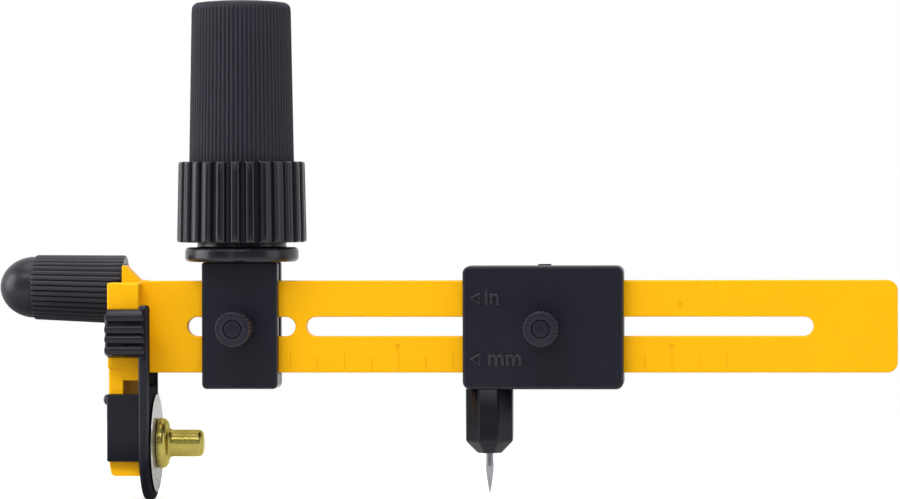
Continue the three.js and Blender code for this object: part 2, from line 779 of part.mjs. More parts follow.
function makeHolder() {
  const outline = () => roundedRectangle(holderLeft, holderRight, holderBottom, holderTop, holderEdge);
  let frontPlate = alongY(outline(), holderFace, plateBack);
  frontPlate = frontPlate.subtract(block(holderLeft - overrun, holderRight + overrun, plateFront,
    plateBack + overrun, -armTop - holderSill, holderTop + overrun));
  let backPlate = alongY(outline(), plateBack + seatGap / 2, holderRear);
  frontPlate = frontPlate.subtract(clampHole(holderCentre, holderFace, holderBackPlate));
  backPlate = backPlate.subtract(clampHole(holderCentre, holderFace, holderBackPlate))
    .subtract(nutPocket(holderCentre, holderBackPlate));
  const screwEnd = plateFront - plateScrewInFront;
  for (const z of holderScrewHeights) {
    frontPlate = frontPlate.subtract(plateScrewHole(holderCentre, z, holderRear, screwEnd));
    backPlate = backPlate.subtract(plateScrewHole(holderCentre, z, holderRear, screwEnd));
  }
  addPiece('holder_front', frontPlate, blackPlastic);
  addPiece('holder_back', backPlate, blackPlastic);
  holderScrewHeights.forEach((z, i) => {
    addPiece(`holder_screw_${i + 1}`, plateScrew(holderCentre, z, holderRear, screwEnd), turnedSteel);
  });
  makeClamp('holder', holderCentre, holderFace, holderBackPlate);
}

function makeFlange() {
  const base = holderTop + seatGap / 2;
  const top = base + flangeThickness;
  const neckTop = top + neckHeight;
  const bottomEdge = quarter([flangeRadius - flangeEdge, base + flangeEdge], flangeEdge, -Math.PI / 2, 0,
    edgeSteps);
  const topEdge = quarter([flangeRadius - flangeEdge, top - flangeEdge], flangeEdge, 0, Math.PI / 2,
    edgeSteps);
  const disc = [[0, base], ...bottomEdge, ...topEdge, [neckRadius, top], [neckRadius, neckTop], [0, neckTop]];
  let flange = onZ(turned(disc, largeSides), holderCentre, midY);
  const tongueLow = armTop + holderSill;
  flange = flange.add(block(holderCentre - tongueWidth / 2, holderCentre + tongueWidth / 2,
    plateFront + slideGap, plateBack - slideGap, tongueLow, base + flangeThickness / 2));
  const bore = turned(rod(spindleRadius + seatGap, base + flangeEdge - seatGap, neckTop + overrun),
    middleSides);
  const screwHole = plateScrewHole(holderCentre, holderScrewHeights[0], holderRear, plateFront - overrun);
  flange = flange.subtract(onZ(bore, holderCentre, midY)).subtract(screwHole);
  addPiece('grip_flange', flange, glossBlack);
}

// Carriage

const carriageLeft = needleReach - readingOffset;
const carriageRight = carriageLeft + carriageWidth;
const carriageFace = plateFront - carriageFrontPlate;
const carriageRear = plateBack + carriageBackPlate;
const carriageKnobX = carriageLeft + carriageWidth * carriageKnobShare;

function makeCarriage() {
  const outline = () => roundedRectangle(carriageLeft, carriageRight, carriageBottom, carriageTop,
    carriageEdge);
  let body = alongY(outline(), carriageFace, plateBack);
  body = body.subtract(block(carriageLeft - overrun, carriageRight + overrun, plateFront, plateBack + overrun,
    -armTop - holderSill, armTop + holderSill));
  let back = alongY(outline(), plateBack + seatGap / 2, carriageRear);
  const clipLeft = carriageKnobX - clipWidth / 2;
  back = back.add(block(clipLeft, clipLeft + clipWidth, carriageRear - clipThickness, carriageRear,
    carriageTop - overrun, carriageTop + clipRise));
  body = body.subtract(clampHole(carriageKnobX, carriageFace, carriageBackPlate));
  back = back.subtract(clampHole(carriageKnobX, carriageFace, carriageBackPlate))
    .subtract(nutPocket(carriageKnobX, carriageBackPlate));
  const screwEnd = plateFront - plateScrewInFront;
  const low = (carriageBottom - armTop) / 2;
  const high = (carriageTop + armTop) / 2;
  const screwX = [carriageLeft + carriageScrewShift, carriageRight - carriageScrewInset];
  const topLeft = [carriageLeft + carriageScrewInset, high];
  const places = [topLeft, [screwX[1], high], [screwX[0], low], [screwX[1], low]];
  places.forEach(([x, z], i) => {
    body = body.subtract(plateScrewHole(x, z, carriageRear, screwEnd));
    back = back.subtract(plateScrewHole(x, z, carriageRear, screwEnd));
    addPiece(`carriage_screw_${i + 1}`, plateScrew(x, z, carriageRear, screwEnd), turnedSteel);
  });
  const socket = turned(rod(needleSpigot + seatGap, carriageBottom - overrun,
    carriageBottom + needleSpigotHeight + seatGap), smallSides);
  body = body.subtract(onZ(socket, needleReach, midY));
  addPiece('carriage_body', body, blackPlastic);
  addPiece('carriage_back', back, blackPlastic);
  makeClamp('carriage', carriageKnobX, carriageFace, carriageBackPlate);
}

function makeNeedleHolder() {
  const halfSide = Math.PI / needleHolderSides;
  const corner = needleHolderAcross / 2 / Math.cos(halfSide);
  const tipCorner = needleHolderTip / Math.cos(halfSide);
  const top = carriageBottom - seatGap / 2;
  const prism = [
    [0, needleHolderBottom], [tipCorner, needleHolderBottom],
    [corner, needleHolderBottom + needleHolderChamfer],
    [corner, top], [0, top],
  ];
  let holder = onZ(turned(prism, needleHolderSides).rotateY(halfSide), needleReach, midY);
  const spigot = turned(rod(needleSpigot, top - overrun, carriageBottom + needleSpigotHeight), smallSides);
  holder = holder.add(onZ(spigot, needleReach, midY));
  const bore = turned(rod(needleRadius + seatGap, needleHolderBottom - overrun,
    needleHolderBottom + needleInside + seatGap), smallSides);
  holder = holder.subtract(onZ(bore, needleReach, midY));
  addPiece('needle_holder', holder, glossBlack);
  const needle = [
    [0, needleTip], [needleWaist, needleTip + needleWaistHeight],
    [needleRadius, needleHolderBottom], [needleRadius, needleHolderBottom + needleInside],
    [0, needleHolderBottom + needleInside],
  ];
  addPiece('needle', onZ(turned(needle, smallSides), needleReach, midY), bladeSteel);
}

// Ratchet grip

const flangeTop = holderTop + flangeThickness;
const collarBase = flangeTop + neckShown;
const collarRoof = collarBase + collarHeight;
const chamberRoof = collarBase + chamberDepth;
const webTop = chamberRoof + collarWeb;
const wheelBase = collarBase + coverGap + coverThickness + wheelGap;

function makeSpindle() {
  const spindle = [
    [0, holderTop + flangeEdge], [spindleRadius, holderTop + flangeEdge], [spindleRadius, webTop + seatGap],
    [spindleThread, webTop + seatGap], [spindleThread, spindleTop], [0, spindleTop],
  ];
  addPiece('spindle', onZ(turned(spindle, middleSides), holderCentre, midY), turnedSteel);
  const washer = [
    [spindleThread + seatGap, webTop + seatGap * 2], [washerRadius, webTop + seatGap * 2],
    [washerRadius, webTop + washerThickness], [spindleThread + seatGap, webTop + washerThickness],
    [spindleThread + seatGap, webTop + seatGap * 2],
  ];
  addPiece('spindle_washer', onZ(turned(washer, middleSides), holderCentre, midY), turnedSteel);
  const nutBase = webTop + washerThickness + seatGap;
  const nut = extrude(hexagon(lockNutAcross), lockNutHeight).translate(holderCentre, midY, nutBase);
  const hole = turned(rod(spindleThread + seatGap, nutBase - overrun, nutBase + lockNutHeight + overrun),
    middleSides);
  addPiece('spindle_nut', solidOf(nut).subtract(onZ(hole, holderCentre, midY)), turnedSteel);
}

function makeRatchetWheel() {
  const wheel = new THREE.Shape();
  for (let i = 0; i < wheelTeeth; i += 1) {
    const turn = (Math.PI * 2 * i) / wheelTeeth;
    const foot = [wheelRoot * Math.cos(turn), wheelRoot * Math.sin(turn)];
    if (i === 0) wheel.moveTo(...foot);
    else wheel.lineTo(...foot);
    wheel.lineTo(wheelRadius * Math.cos(turn), wheelRadius * Math.sin(turn));
  }
  wheel.closePath();
  const hole = new THREE.Path();
  hole.absarc(0, 0, spindleRadius + seatGap, 0, Math.PI * 2, true);
  wheel.holes.push(hole);
  const disc = new THREE.ExtrudeGeometry(wheel, {
    depth: wheelThickness, bevelEnabled: false, curveSegments: middleSides,
  });
  addPiece('ratchet_wheel', solidOf(disc.translate(holderCentre, midY, wheelBase)), turnedSteel);
}

const pawlPivot = polar(pawlPivotRadius, degrees(pawlPivotTurn));
const pawlPoint = polar(pawlTipRadius, degrees(pawlTipTurn));

// A pawl narrows from its hub to its tip.
function pawlOutline() {
  const along = pawlPoint.clone().sub(pawlPivot);
  const lean = Math.acos((pawlHub - pawlTip) / along.length());
  const heading = along.angle();
  const shape = new THREE.Shape();
  shape.absarc(pawlPivot.x, pawlPivot.y, pawlHub, heading + lean, heading - lean + Math.PI * 2, false);
  shape.absarc(pawlPoint.x, pawlPoint.y, pawlTip, heading - lean, heading + lean, false);
  shape.closePath();
  const hole = new THREE.Path();
  hole.absarc(pawlPivot.x, pawlPivot.y, pawlPin + seatGap, 0, Math.PI * 2, true);
  shape.holes.push(hole);
  return shape;
}

// A compression spring: one wire along a helix, from the pawl's back to the chamber's wall.
function springGeometry() {
  const along = pawlPoint.clone().sub(pawlPivot);
  const outward = new THREE.Vector2(along.y, -along.x).normalize();
  const start = pawlPivot.clone().addScaledVector(along, springShare).addScaledVector(outward, springSeat);
  const length = springEnd - springSeat;
  class Helix extends THREE.Curve {
    getPoint(t, target = new THREE.Vector3()) {
      const turn = t * springTurns * Math.PI * 2;
      const side = new THREE.Vector2(-outward.y, outward.x).multiplyScalar(springRadius * Math.cos(turn));
      const centre = start.clone().addScaledVector(outward, length * t).add(side);
      return target.set(centre.x, centre.y, springRadius * Math.sin(turn));
    }
  }
  const wire = new THREE.Shape();
  const corners = Array.from({ length: wireSides }, (_, i) => (Math.PI * 2 * i) / wireSides);
  wire.setFromPoints(corners.map((turn) => polar(springWire, turn)));
  return new THREE.ExtrudeGeometry(wire, {
    steps: springSteps, extrudePath: new Helix(), bevelEnabled: false,
  });
}

function makePawls() {
  const middle = wheelBase + wheelThickness / 2;
  for (let i = 0; i < pawlCount; i += 1) {
    const turn = (Math.PI * 2 * i) / pawlCount;
    const seatOnAxis = (geometry) => solidOf(geometry.rotateZ(turn).translate(holderCentre, midY, 0));
    const pawl = extrude(pawlOutline(), pawlThickness).translate(0, 0, middle - pawlThickness / 2);
    addPiece(`pawl_${i + 1}`, seatOnAxis(pawl), turnedSteel);
    const pinLow = collarBase + coverGap + coverThickness + seatGap;
    const pin = turned(rod(pawlPin, pinLow, chamberRoof + collarWeb / 2), smallSides)
      .rotateX(Math.PI / 2).translate(pawlPivot.x, pawlPivot.y, 0);
    addPiece(`pawl_pin_${i + 1}`, seatOnAxis(pin), turnedSteel);
    addPiece(`pawl_spring_${i + 1}`, seatOnAxis(springGeometry().translate(0, 0, middle)), turnedSteel);
  }
}

function makeCollar() {
  const root = 1 - collarToothDepth / toothedRadiusBottom;
  const toothRing = toothed(collarTeeth, root, 1, collarCrestShare, collarFlankShare);
  const prism = tapered(extrude(toothRing, collarHeight), 0, toothedRadiusBottom, collarHeight,
    toothedRadiusTop);
  const teeth = solidOf(prism.translate(holderCentre, midY, collarBase));
  const envelope = turned([
    [0, collarBase], [toothedRadiusBottom - collarEdge, collarBase],
    [toothedRadiusBottom + collarEdge, collarBase + collarEdge * 2],
    [toothedRadiusTop + collarEdge, collarRoof - collarEdge * 2],
    [toothedRadiusTop - collarEdge, collarRoof], [0, collarRoof],
  ], largeSides);
  let collar = teeth.intersect(onZ(envelope, holderCentre, midY));
  const chamber = turned(rod(chamberRadius, collarBase - overrun, chamberRoof), largeSides);
  const bearing = turned(rod(spindleRadius + seatGap, chamberRoof - overrun, webTop + overrun), middleSides);
  const seat = turned(rod(sleeveBottomRadius + slideGap, webTop, collarRoof + overrun), largeSides);
  collar = collar.subtract(onZ(chamber, holderCentre, midY)).subtract(onZ(bearing, holderCentre, midY))
    .subtract(onZ(seat, holderCentre, midY));
  for (let i = 0; i < pawlCount; i += 1) {
    const turn = (Math.PI * 2 * i) / pawlCount;
    const pinTop = chamberRoof + collarWeb / 2 + seatGap;
    const pinHole = turned(rod(pawlPin + seatGap, chamberRoof - overrun, pinTop), smallSides)
      .rotateX(Math.PI / 2).translate(pawlPivot.x, pawlPivot.y, 0)
      .rotateZ(turn).translate(holderCentre, midY, 0);
    collar = collar.subtract(solidOf(pinHole));
  }
  addPiece('grip_collar', collar, glossBlack);
  const coverLow = collarBase + coverGap;
  const cover = [
    [neckRadius + slideGap, coverLow], [chamberRadius - slideGap, coverLow],
    [chamberRadius - slideGap, coverLow + coverThickness], [neckRadius + slideGap, coverLow + coverThickness],
    [neckRadius + slideGap, coverLow],
  ];
  addPiece('pawl_cover', onZ(turned(cover, largeSides), holderCentre, midY), blackPlastic);
}

function makeSleeve() {
  const base = webTop + seatGap;
  const coreTop = gripTop - sleeveDome - sleeveCap - seatGap;
  const inner = coreRadius - coreWall;
  const core = [
    [inner, base], [coreFoot, base], [coreFoot, base + coreFootHeight], [coreRadius, base + coreFootHeight],
    [coreRadius, coreTop], [inner, coreTop], [inner, base],
  ];
  addPiece('grip_core', onZ(turned(core, middleSides), holderCentre, midY), blackPlastic);
  const foot = collarRoof - sleeveSeat;
  const height = gripTop - foot;
  const ribRing = toothed(sleeveRibs, 1 - sleeveRibDepth / sleeveTopRadius, 1, 0, sharpFlankShare);
  const prism = tapered(extrude(ribRing, height), 0, sleeveBottomRadius, height, sleeveTopRadius);
  const ribbed = solidOf(prism.translate(holderCentre, midY, foot));
  const shoulder = gripTop - sleeveDome;
  const edge = quarter([sleeveTopRadius - sleeveEdge, shoulder - sleeveEdge], sleeveEdge, 0, Math.PI / 2,
    edgeSteps);
  const envelope = turned([
    [0, foot - overrun], [sleeveBottomRadius + sleeveEdge, foot - overrun],
    [sleeveTopRadius + sleeveEdge, shoulder - sleeveEdge * 2], ...edge, [0, gripTop],
  ], largeSides);
  const hollow = turned([
    [0, foot - overrun], [sleeveBottomRadius - sleeveWall, foot - overrun],
    [coreRadius + slideGap, foot + sleeveSeat], [coreRadius + slideGap, coreTop + seatGap],
    [0, coreTop + seatGap],
  ], middleSides);
  const sleeve = ribbed.intersect(onZ(envelope, holderCentre, midY))
    .subtract(onZ(hollow, holderCentre, midY));
  addPiece('grip_sleeve', sleeve, blackRubber);
}

makeArm();
makeGuard();
makeStopPin();
makeStud();
makeBlade();
makeBladeNut();
makeNeedleCap();
makeHolder();
makeFlange();
makeCarriage();
makeNeedleHolder();
makeSpindle();
makeRatchetWheel();
makePawls();
makeCollar();
makeSleeve();

export default cutter;
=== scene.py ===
import math

import bmesh
import bpy
from mathutils import Matrix, Vector


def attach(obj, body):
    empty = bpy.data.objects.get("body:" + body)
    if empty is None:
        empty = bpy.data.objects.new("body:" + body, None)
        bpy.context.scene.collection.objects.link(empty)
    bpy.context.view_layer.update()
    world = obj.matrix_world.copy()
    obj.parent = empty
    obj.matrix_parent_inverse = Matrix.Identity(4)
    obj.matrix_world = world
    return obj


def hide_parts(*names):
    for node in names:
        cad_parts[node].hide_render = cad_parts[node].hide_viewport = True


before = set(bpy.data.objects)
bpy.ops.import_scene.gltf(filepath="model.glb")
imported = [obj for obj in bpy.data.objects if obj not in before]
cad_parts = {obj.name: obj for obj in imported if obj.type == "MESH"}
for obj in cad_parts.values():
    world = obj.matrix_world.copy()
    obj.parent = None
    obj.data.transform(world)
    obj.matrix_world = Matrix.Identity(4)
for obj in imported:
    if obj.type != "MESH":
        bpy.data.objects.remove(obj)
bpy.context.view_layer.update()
print("frame loaded")

mm = 0.001
fullTurn = 2 * math.pi
midY, bladeZ = -1.5, -21.45  # the blade's centre; the needle and the grip stand on midY too
holderX, carriageX, needleX = 15.76, 71.314, 61.3
holderFace, carriageFace = -6.05, -6.1


class Wire:  # a shader socket that takes arithmetic
    def __init__(self, finish, socket):
        self.finish, self.socket = finish, socket

    def maths(self, operation, *values):
        return self.finish.add("ShaderNodeMath", values, operation=operation)

    def __add__(self, other):
        return self.maths("ADD", self, other)

    def __sub__(self, other):
        return self.maths("SUBTRACT", self, other)

    def __rsub__(self, other):
        return self.maths("SUBTRACT", other, self)

    def __mul__(self, other):
        return self.maths("MULTIPLY", self, other)

    def __truediv__(self, other):
        return self.maths("DIVIDE", self, other)

    def __pow__(self, other):
        return self.maths("POWER", self, other)

    def __gt__(self, other):
        return self.maths("GREATER_THAN", self, other)

    def __lt__(self, other):
        return self.maths("LESS_THAN", self, other)

    __radd__ = __add__
    __rmul__ = __mul__


class Finish:  # the nodes of a material or of the world
    def __init__(self, name, world=None):
        self.owner = world or bpy.data.materials.new(name)
        self.owner.use_nodes = True
        self.tree = self.owner.node_tree
        self.tree.nodes.clear()
        self.wires = {}

    def add(self, kind, values=(), output=0, **settings):  # with None as output it gives all of them
        node = self.tree.nodes.new(kind)
        for key, value in settings.items():
            setattr(node, key, value)
        for key, value in values.items() if isinstance(values, dict) else enumerate(values):
            if isinstance(value, Wire):
                self.tree.links.new(value.socket, node.inputs[key])
            else:
                node.inputs[key].default_value = value
        if output is None:
            return [Wire(self, socket) for socket in node.outputs]
        return Wire(self, node.outputs[output])

    def where(self):  # the piece's own coordinates, which are the frame's
        if "where" not in self.wires:
            self.wires["where"] = self.add("ShaderNodeTexCoord", output="Object")
        return self.wires["where"]

    def axes(self):
        if "axes" not in self.wires:
            self.wires["axes"] = self.add("ShaderNodeSeparateXYZ", [self.where()], None)
        return self.wires["axes"]

    def rays(self):
        return [self.add("ShaderNodeLightPath", output="Is %s Ray" % kind)
                for kind in ("Camera", "Glossy", "Transmission")]

    def noise(self, scale, detail=2.0, rough=0.5, stretch=None):
        point = self.where()
        if stretch:
            point = self.add("ShaderNodeMapping", {"Vector": point, "Scale": stretch})
        values = {"Vector": point, "Scale": scale, "Detail": detail, "Roughness": rough}
        return self.add("ShaderNodeTexNoise", values)

    def lines(self, along, scale, detail=3.0):  # fine lines across one coordinate
        values = {"W": along, "Scale": scale, "Detail": detail}
        return self.add("ShaderNodeTexNoise", values, noise_dimensions="1D")

    def band(self, value, low, high, toLow=0.0, toHigh=1.0):
        return self.add("ShaderNodeMapRange", [value, low, high, toLow, toHigh], clamp=True)

    def blend(self, share, first, second):
        return self.add("ShaderNodeMix", {"Factor": share, 6: first, 7: second}, 2, data_type="RGBA")

    def bump(self, height, strength, distance, under=None):
        values = {"Height": height, "Strength": strength, "Distance": distance}
        if under is not None:
            values["Normal"] = under
        return self.add("ShaderNodeBump", values)

    def rubbed(self):  # outer edges, where handling polishes or pales the surface
        if "rub" not in self.wires:
            rub = self.add("ShaderNodeAttribute", output="Fac", attribute_name="rub")
            self.wires["rub"] = self.band(rub + self.noise(700, 3, 0.6) * 0.5, 0.45, 1.15)
        return self.wires["rub"]

    def shader(self, **sockets):
        return self.add("ShaderNodeBsdfPrincipled", {key.replace("_", " "): v for key, v in sockets.items()})

    def mixed(self, share, first, second):
        return self.add("ShaderNodeMixShader", [share, first, second])

    def shade(self, surface):
        self.add("ShaderNodeOutputMaterial", [surface], None)
        return self.owner


def rgb(*values):
    return (*values, 1.0)


def scaleMarks(f, v):
    # the scales on the arm's face: lines at a pitch, every second and fourth one longer, and round dots
    x, y, z = [axis * 1000 for axis in f.axes()]
    total = None
    for side in (v["metric"], v["inch"]):
        place = (x - v["origin"]) / side["pitch"]
        count = place.maths("ROUND", place)
        away = place.maths("ABSOLUTE", place - count) * side["pitch"]
        line = f.band(away, v["half"] - v["soft"], v["half"] + v["soft"], 1, 0)
        odd = count.maths("MODULO", count, 2.0)
        fourth = 1 - (count.maths("MODULO", count, 4.0) > 0.5)
        length = side["short"] + (1 - odd) * side["long"] + fourth * side["longer"]
        rise = (z - side["edge"]) * side["way"]
        line = line * side["show"] * (rise > 0) * (rise < length)
        line = line * (count > side["first"] - 0.5) * (count < side["last"] + 0.5)
        total = line if total is None else total.maths("MAXIMUM", total, line)
    low, high = v["dot"] - v["dotSoft"], v["dot"] + v["dotSoft"]
    for cx, cz in v["dots"]:
        dx, dz = x - cx, z - cz
        away = (dx * dx + dz * dz) ** 0.5
        total = total.maths("MAXIMUM", total, f.band(away, low, high, 1, 0))
    return total * (y < v["face"])


surfaceValues = {"ior": 1.49, "polish": 0.08, "scuffStretch": (1, 1, 0.35), "grimeLeast": 0.75,
                 "grimeCloud": 0.3, "matteRough": 0.9, "matteSpecular": 0.04}


def makePlastic(name, look):
    f = Finish(name)
    s = surfaceValues
    x, y, z = f.axes()
    cloud = f.noise(look["cloudScale"], 4, 0.6)
    grain = f.noise(look["grainScale"], 3, 0.55)
    color = f.blend(cloud, rgb(*look["dark"]), rgb(*look["light"]))
    worn = f.rubbed() * look["wear"]
    color = f.blend(worn, color, rgb(*look["worn"]))
    if "recess" in look:  # painted shade: the stem's recess is darkened towards the shade colour, mottled by the cloud noise
        left, low, high, front, back = [edge * mm for edge in look["recess"]]
        shadedRecess = (x > left) * (x < 0) * (z > low) * (z < high) * (y > front) * (y < back)
        color = f.blend(shadedRecess * (s["grimeLeast"] + cloud * s["grimeCloud"]), color, rgb(*look["grime"]))
    scuff = f.noise(look["scuffScale"], 5, 0.7, s["scuffStretch"])
    rough = look["rough"] + (scuff - 0.5) * look["roughSpread"] - worn * s["polish"]
    normal = f.bump(grain, look["bump"], look["bumpDepth"])
    if "marks" in look:
        v = look["marks"]
        marks = scaleMarks(f, v)
        # the marks' darker orange is painted shade in the engraved lines; the bump sinks them
        color = f.blend(marks * v["share"], color, rgb(*v["color"]))
        normal = f.bump(1 - marks, 1.0, v["depth"] * mm, under=normal)
    paintedShade = None
    if "pad" in look:  # thumbs polish the pad; the guide faces beside the blade get painted shade, a dull, barely reflecting shader mixed in
        front, low, right, guide = [edge * mm for edge in look["pad"]]
        rough = rough - (y < front) * (z > low) * (x < right) * look["padShine"]
        paintedShade = (x > right) * (y > guide)
    if "under" in look:  # painted shade: towards the underside the surface mixes to the dull, barely reflecting shader, so it is darker than the top
        high, low, most = look["under"]
        under = f.band(z, high * mm, low * mm, 0, most)
        paintedShade = under if paintedShade is None else paintedShade.maths("MAXIMUM", paintedShade, under)
    both = {"Base_Color": color, "Normal": normal}
    surface = f.shader(Roughness=rough, IOR=s["ior"], Specular_IOR_Level=look["specular"], **both)
    if paintedShade is not None:
        matte = f.shader(Roughness=s["matteRough"], Specular_IOR_Level=s["matteSpecular"], **both)
        surface = f.mixed(paintedShade, surface, matte)
    return f.shade(surface)


# the shade values paint shade over the blade's lower half
metalValues = {"stain": (0.35, 0.75), "bevelRamp": 0.00002, "strokes": 90, "strokeColor": (0.35, 0.5),
               "strokeRough": 0.25, "shadeTop": 0.005, "shadeFoot": -0.004, "shadePatch": (0.6, 0.8),
               "shadeTone": (0.16, 0.145, 0.135), "shadeRough": 0.5, "shadeSpecular": 0.3}


def makeMetal(name, look):
    f = Finish(name)
    m = metalValues
    x, y, z = f.axes()
    disc = look["axis"] == "disc"
    if disc:  # rings round the blade's own centre
        dy, dz = y - midY * mm, z - bladeZ * mm
        along = (dy * dy + dz * dz) ** 0.5
    else:
        along = {"x": x, "y": y, "z": z}[look["axis"]]
    rings = f.lines(along, look["ringScale"])
    tarnish = f.noise(look["tarnishScale"], 4, 0.65)
    stain = f.band(tarnish, *m["stain"])
    color = f.blend(stain, rgb(*look["light"]), rgb(*look["dark"]))
    color = f.blend(f.rubbed() * look["wear"], color, rgb(*look["worn"]))
    rough = look["rough"] + (rings - 0.5) * look["roughSpread"] + stain * look["stainRough"]
    if disc:  # the ground bevel is brighter and its marks run outwards
        edge = f.band(along, look["bevelStart"], look["bevelStart"] + m["bevelRamp"])
        strokes = f.lines(dy.maths("ARCTAN2", dy, dz), m["strokes"], 4)
        least, more = m["strokeColor"]
        color = f.blend(edge * (least + strokes * more), color, rgb(*look["ground"]))
        rough = rough + edge * (strokes - least) * m["strokeRough"]
    surface = f.shader(Base_Color=color, Roughness=rough, Metallic=1.0, Specular_Tint=rgb(*look["grazing"]),
                       Normal=f.bump(rings, look["bump"], look["bumpDepth"]))
    if disc:  # painted shade: a dull grey sheet mixed over the lower half, mottled by the tarnish noise
        least, more = m["shadePatch"]
        lowerShade = f.band(z, bladeZ * mm + m["shadeTop"], bladeZ * mm + m["shadeFoot"])
        shadeTone = f.shader(Base_Color=rgb(*m["shadeTone"]), Roughness=m["shadeRough"], Specular_IOR_Level=m["shadeSpecular"])
        surface = f.mixed(lowerShade * look["lowerShade"] * (least + tarnish * more), surface, shadeTone)
    return f.shade(surface)


marksValues = {
    "face": -2.9, "half": 0.11, "soft": 0.05, "depth": 0.07, "share": 0.5, "color": (0.70, 0.27, 0.0),
    "origin": -5.25,
    "metric": {"show": 0.75, "pitch": 5, "first": 6, "last": 22, "edge": -7.975, "way": 1,
               "short": 2.4, "long": 1.05, "longer": 0},
    "inch": {"show": 0.3, "pitch": 3.175, "first": 9, "last": 35, "edge": 7.975, "way": -1,
             "short": 1.05, "long": 0.75, "longer": 2},
    "dots": [(44.6, -3.65), (94.6, -3.65), (96.2, 4)], "dot": 0.5, "dotSoft": 0.1}
anyPlastic = {"wear": 0.3, "cloudScale": 90, "grainScale": 3200, "scuffScale": 500, "roughSpread": 0.1,
              "bump": 0.25, "bumpDepth": 0.00003}
plasticLook = {
    # the yellow's recess colour is painted shade, laid into the stem's recess
    "yellow": {"dark": (0.865, 0.423, 0.0), "light": (0.905, 0.449, 0.001), "worn": (0.97, 0.55, 0.01),
               "cloudScale": 45, "grainScale": 2600, "scuffScale": 420, "rough": 0.46, "roughSpread": 0.12,
               "bump": 0.2, "bumpDepth": 0.00002, "specular": 0.13, "marks": marksValues,
               "recess": (-5.6, -17, -9.6, -7.1, -2.9), "grime": (0.6, 0.31, 0.05)},
    "satinBlack": {"dark": (0.0066, 0.0070, 0.0134), "light": (0.0092, 0.0096, 0.0172),
                   "worn": (0.04, 0.04, 0.05), "wear": 0.35, "rough": 0.34, "roughSpread": 0.12, "bump": 0.3,
                   "specular": 0.19},
    # capBlack's under band is painted shade on the cap's lower side
    "capBlack": {"dark": (0.0070, 0.0072, 0.0124), "light": (0.0100, 0.0102, 0.0170),
                 "worn": (0.04, 0.04, 0.05), "wear": 0.35, "rough": 0.34, "specular": 0.42,
                 "under": (8.5, 3.5, 0.8)},
    # markBlack's paler worn colour lightens the letters' rims: edge wear, and partly a painted highlight on
    # them
    "markBlack": {"dark": (0.0066, 0.0070, 0.0134), "light": (0.0092, 0.0096, 0.0172),
                  "worn": (0.05, 0.05, 0.06), "rough": 0.26, "roughSpread": 0.08, "bump": 0.2,
                  "bumpDepth": 0.00002, "specular": 0.4},
    # guardBlack's guide faces and its lower band are painted shade on the guard
    "guardBlack": {"dark": (0.0044, 0.0047, 0.0088), "light": (0.0064, 0.0067, 0.0118),
                   "worn": (0.03, 0.03, 0.038), "rough": 0.32, "specular": 0.22,
                   "pad": (-8.65, -6, -0.75, -11.4), "padShine": 0.21, "under": (-20, -26, 1)},
    "tipBlack": {"dark": (0.0036, 0.0039, 0.0075), "light": (0.0054, 0.0057, 0.0100),
                 "worn": (0.03, 0.03, 0.036), "rough": 0.3, "specular": 0.2},
    "glossBlack": {"dark": (0.0036, 0.0039, 0.0075), "light": (0.0056, 0.0059, 0.0105),
                   "worn": (0.035, 0.035, 0.042), "wear": 0.5, "cloudScale": 80, "grainScale": 2200,
                   "scuffScale": 600, "rough": 0.24, "bump": 0.12, "bumpDepth": 0.00002, "specular": 0.34},
    "rubberBlack": {"dark": (0.0105, 0.0110, 0.0180), "light": (0.0155, 0.0162, 0.0260),
                    "worn": (0.035, 0.035, 0.04), "wear": 0.4, "cloudScale": 120, "grainScale": 4200,
                    "scuffScale": 300, "rough": 0.66, "roughSpread": 0.14, "bump": 0.45, "bumpDepth": 0.00004,
                    "specular": 0.25},
}
anyMetal = {"wear": 0.3, "roughSpread": 0.1, "stainRough": 0.12, "bump": 0.1, "bumpDepth": 0.00001}
metalLook = {
    "brass": {"axis": "x", "grazing": (0.9, 0.8, 0.5), "light": (0.40, 0.335, 0.084),
              "dark": (0.25, 0.203, 0.042), "worn": (0.6, 0.52, 0.2), "ringScale": 9000, "tarnishScale": 260,
              "rough": 0.25, "bump": 0.12, "bumpDepth": 0.00002},
    "bladeSteel": {"axis": "disc", "grazing": (0.5, 0.5, 0.48), "light": (0.74, 0.75, 0.76),
                   "dark": (0.58, 0.59, 0.6), "worn": (0.9, 0.9, 0.9), "ground": (0.93, 0.94, 0.95),
                   "bevelStart": 8.3 * mm, "lowerShade": 0.55, "ringScale": 11000, "tarnishScale": 180,
                   "rough": 0.24, "roughSpread": 0.12, "stainRough": 0.08},
    "needleSteel": {"axis": "z", "grazing": (0.6, 0.6, 0.6), "light": (0.27, 0.28, 0.30),
                    "dark": (0.13, 0.14, 0.155), "worn": (0.7, 0.7, 0.7), "ringScale": 12000,
                    "tarnishScale": 700, "rough": 0.18, "stainRough": 0.06},
    "screwSteel": {"axis": "y", "grazing": (0.8, 0.8, 0.8), "light": (0.56, 0.57, 0.58),
                   "dark": (0.38, 0.39, 0.4), "worn": (0.75, 0.75, 0.76), "wear": 0.5, "ringScale": 9000,
                   "tarnishScale": 900, "rough": 0.32, "roughSpread": 0.14, "bump": 0.15,
                   "bumpDepth": 0.00002},
}
finishes = {name: makePlastic(name, {**anyPlastic, **look}) for name, look in plasticLook.items()}
finishes.update({name: makeMetal(name, {**anyMetal, **look}) for name, look in metalLook.items()})
print("finishes made:", ", ".join(finishes))


weld = 1e-6  # metres: points closer than this are one
onLevel = 0.01  # mm: how near a point is to the level that it lies on
steep = 60  # degrees: an edge that sticks out by more is a moulding's own edge
keepValues = {"narrow": 0.6, "rub": 1.2, "weight": 80}
turnTo = {"z": Matrix.Identity(4), "x": Matrix.Rotation(math.pi / 2, 4, "Y"),
          "front": Matrix.Rotation(math.pi / 2, 4, "X")}


def arc(u, v, radius, start, end, steps=8):  # points round a corner of an outline, angles in degrees
    turns = [math.radians(start + (end - start) * i / steps) for i in range(steps + 1)]
    return [(u + radius * math.cos(turn), v + radius * math.sin(turn)) for turn in turns]


